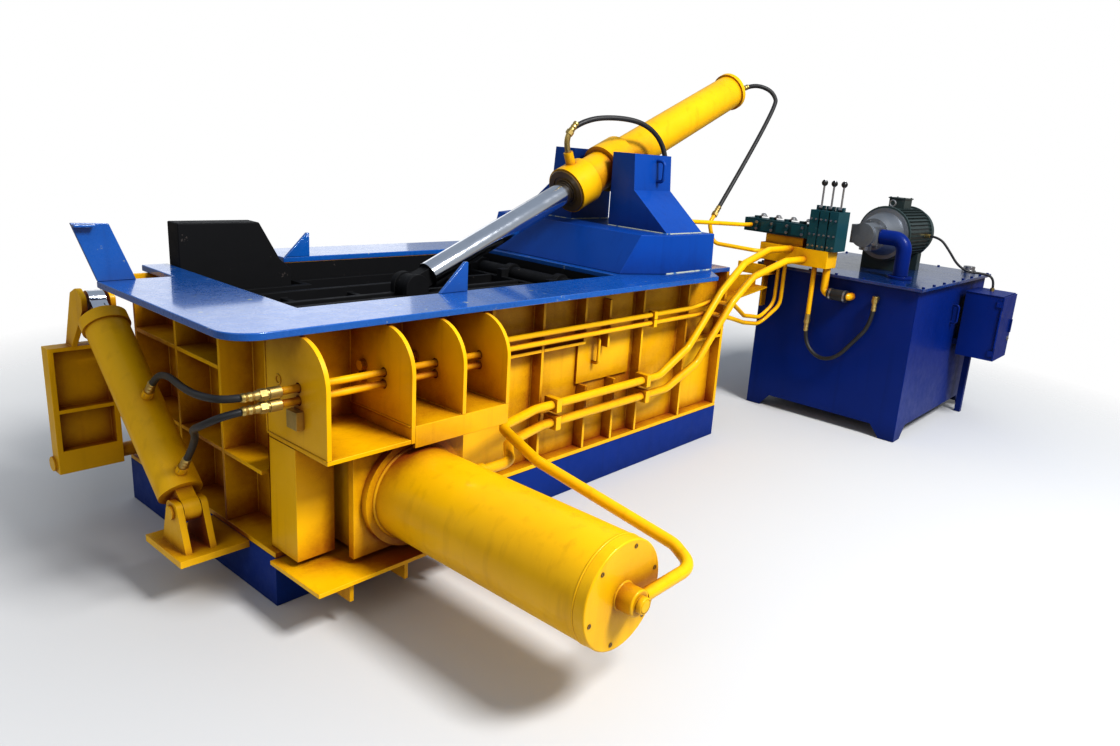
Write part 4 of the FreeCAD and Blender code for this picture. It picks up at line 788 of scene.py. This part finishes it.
# --- Lever knobs and valve trim -----------------------------------------------
# Black ball knobs on the three levers; cap nuts and tie bolts on the valve bank.
for number, body in enumerate(("lever_a", "lever_b", "lever_c"), 1):
    low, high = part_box(f"lever_{number}")
    spot = Vector(((low.x + high.x) / 2, (low.y + high.y) / 2, high.z - 0.019))
    ball = bmesh.new()
    bmesh.ops.create_uvsphere(ball, u_segments=28, v_segments=18, radius=0.0195,
                              matrix=Matrix.Translation(spot))
    finished(f"knob_{number}", ball, knob_black, body, 60)
valve_trim = bmesh.new()
for i in range(4):
    y = -0.710 + i * 0.110
    lathe(valve_trim, [(0, 0.026), (0.004, 0.026), (0.004, 0.019), (0.014, 0.017), (0.019, 0.010),
                       (0.020, 0)], (2.110, y, 1.299), (0, 0, 1), 24)
    for dz in (0.022, 0.064):
        for x in (2.031, 2.189):
            rod(valve_trim, (x, y, 1.200 + dz), (-1 if x < 2.1 else 1, 0, 0), 0.009, 0.010)
for y in (-0.775, -0.841, -0.907):
    for z in (1.165, 1.235, 1.330):
        rod(valve_trim, (2.040, y - 0.016, z), (-1, 0, 0), 0.007, 0.007)
        rod(valve_trim, (2.040, y + 0.016, z), (-1, 0, 0), 0.007, 0.007)
finished("valve_caps_and_bolts", valve_trim, steel, "press", 25)

# --- Return sleeve ------------------------------------------------------------
# A black rubber sleeve with two clips joins the return pipe to the tank's stub.
RETURN_X, RETURN_Z = 2.145, 0.868
sleeve = bmesh.new()
lathe(sleeve, [(0, 0.025), (0, 0.036), (0.130, 0.036), (0.130, 0.025)],
      (RETURN_X, -0.895, RETURN_Z), (0, -1, 0), 28)
finished("return_sleeve", sleeve, rubber, "press")
clips = bmesh.new()
for y in (-0.908, -1.004):
    lathe(clips, [(0, 0.0355), (0, 0.0382), (0.012, 0.0382), (0.012, 0.0355)],
          (RETURN_X, y, RETURN_Z), (0, -1, 0), 28)
finished("return_sleeve_clips", clips, steel, "press")

# --- Tank and electrical box trim ---------------------------------------------
# Cover screws along the tank's rim; a quarter-turn latch and a rain lip on the
# electrical box.
tank_trim = bmesh.new()
cover_low, cover_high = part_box("tank_cover")
for i in range(8):
    x = cover_low.x + 0.045 + i * (cover_high.x - cover_low.x - 0.09) / 7
    for y in (cover_low.y + 0.016, cover_high.y - 0.016):
        rod(tank_trim, (x, y, cover_high.z), (0, 0, 1), 0.008, 0.010)
for i in range(1, 6):
    y = cover_low.y + 0.016 + i * (cover_high.y - cover_low.y - 0.032) / 6
    for x in (cover_low.x + 0.016, cover_high.x - 0.016):
        rod(tank_trim, (x, y, cover_high.z), (0, 0, 1), 0.008, 0.010)
finished("cover_screws", tank_trim, tank_paint, "press", 20)
latch = bmesh.new()
box_low, box_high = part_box("box_door")
lathe(latch, [(0, 0.017), (0.004, 0.017), (0.006, 0.013), (0.006, 0)],
      (box_high.x - 0.042, box_low.y + 0.012, 0.600), (0, -1, 0), 24)
rod(latch, (box_high.x - 0.042, box_low.y + 0.006, 0.600), (0, -1, 0), 0.005, 0.005)
finished("box_latch", latch, steel, "box_door_leaf")
lip = bmesh.new()
slab(lip, (0.330, 0.250, 0.003), (3.205, -1.606, 0.9125))
finished("box_rain_lip", lip, tank_paint, "press")
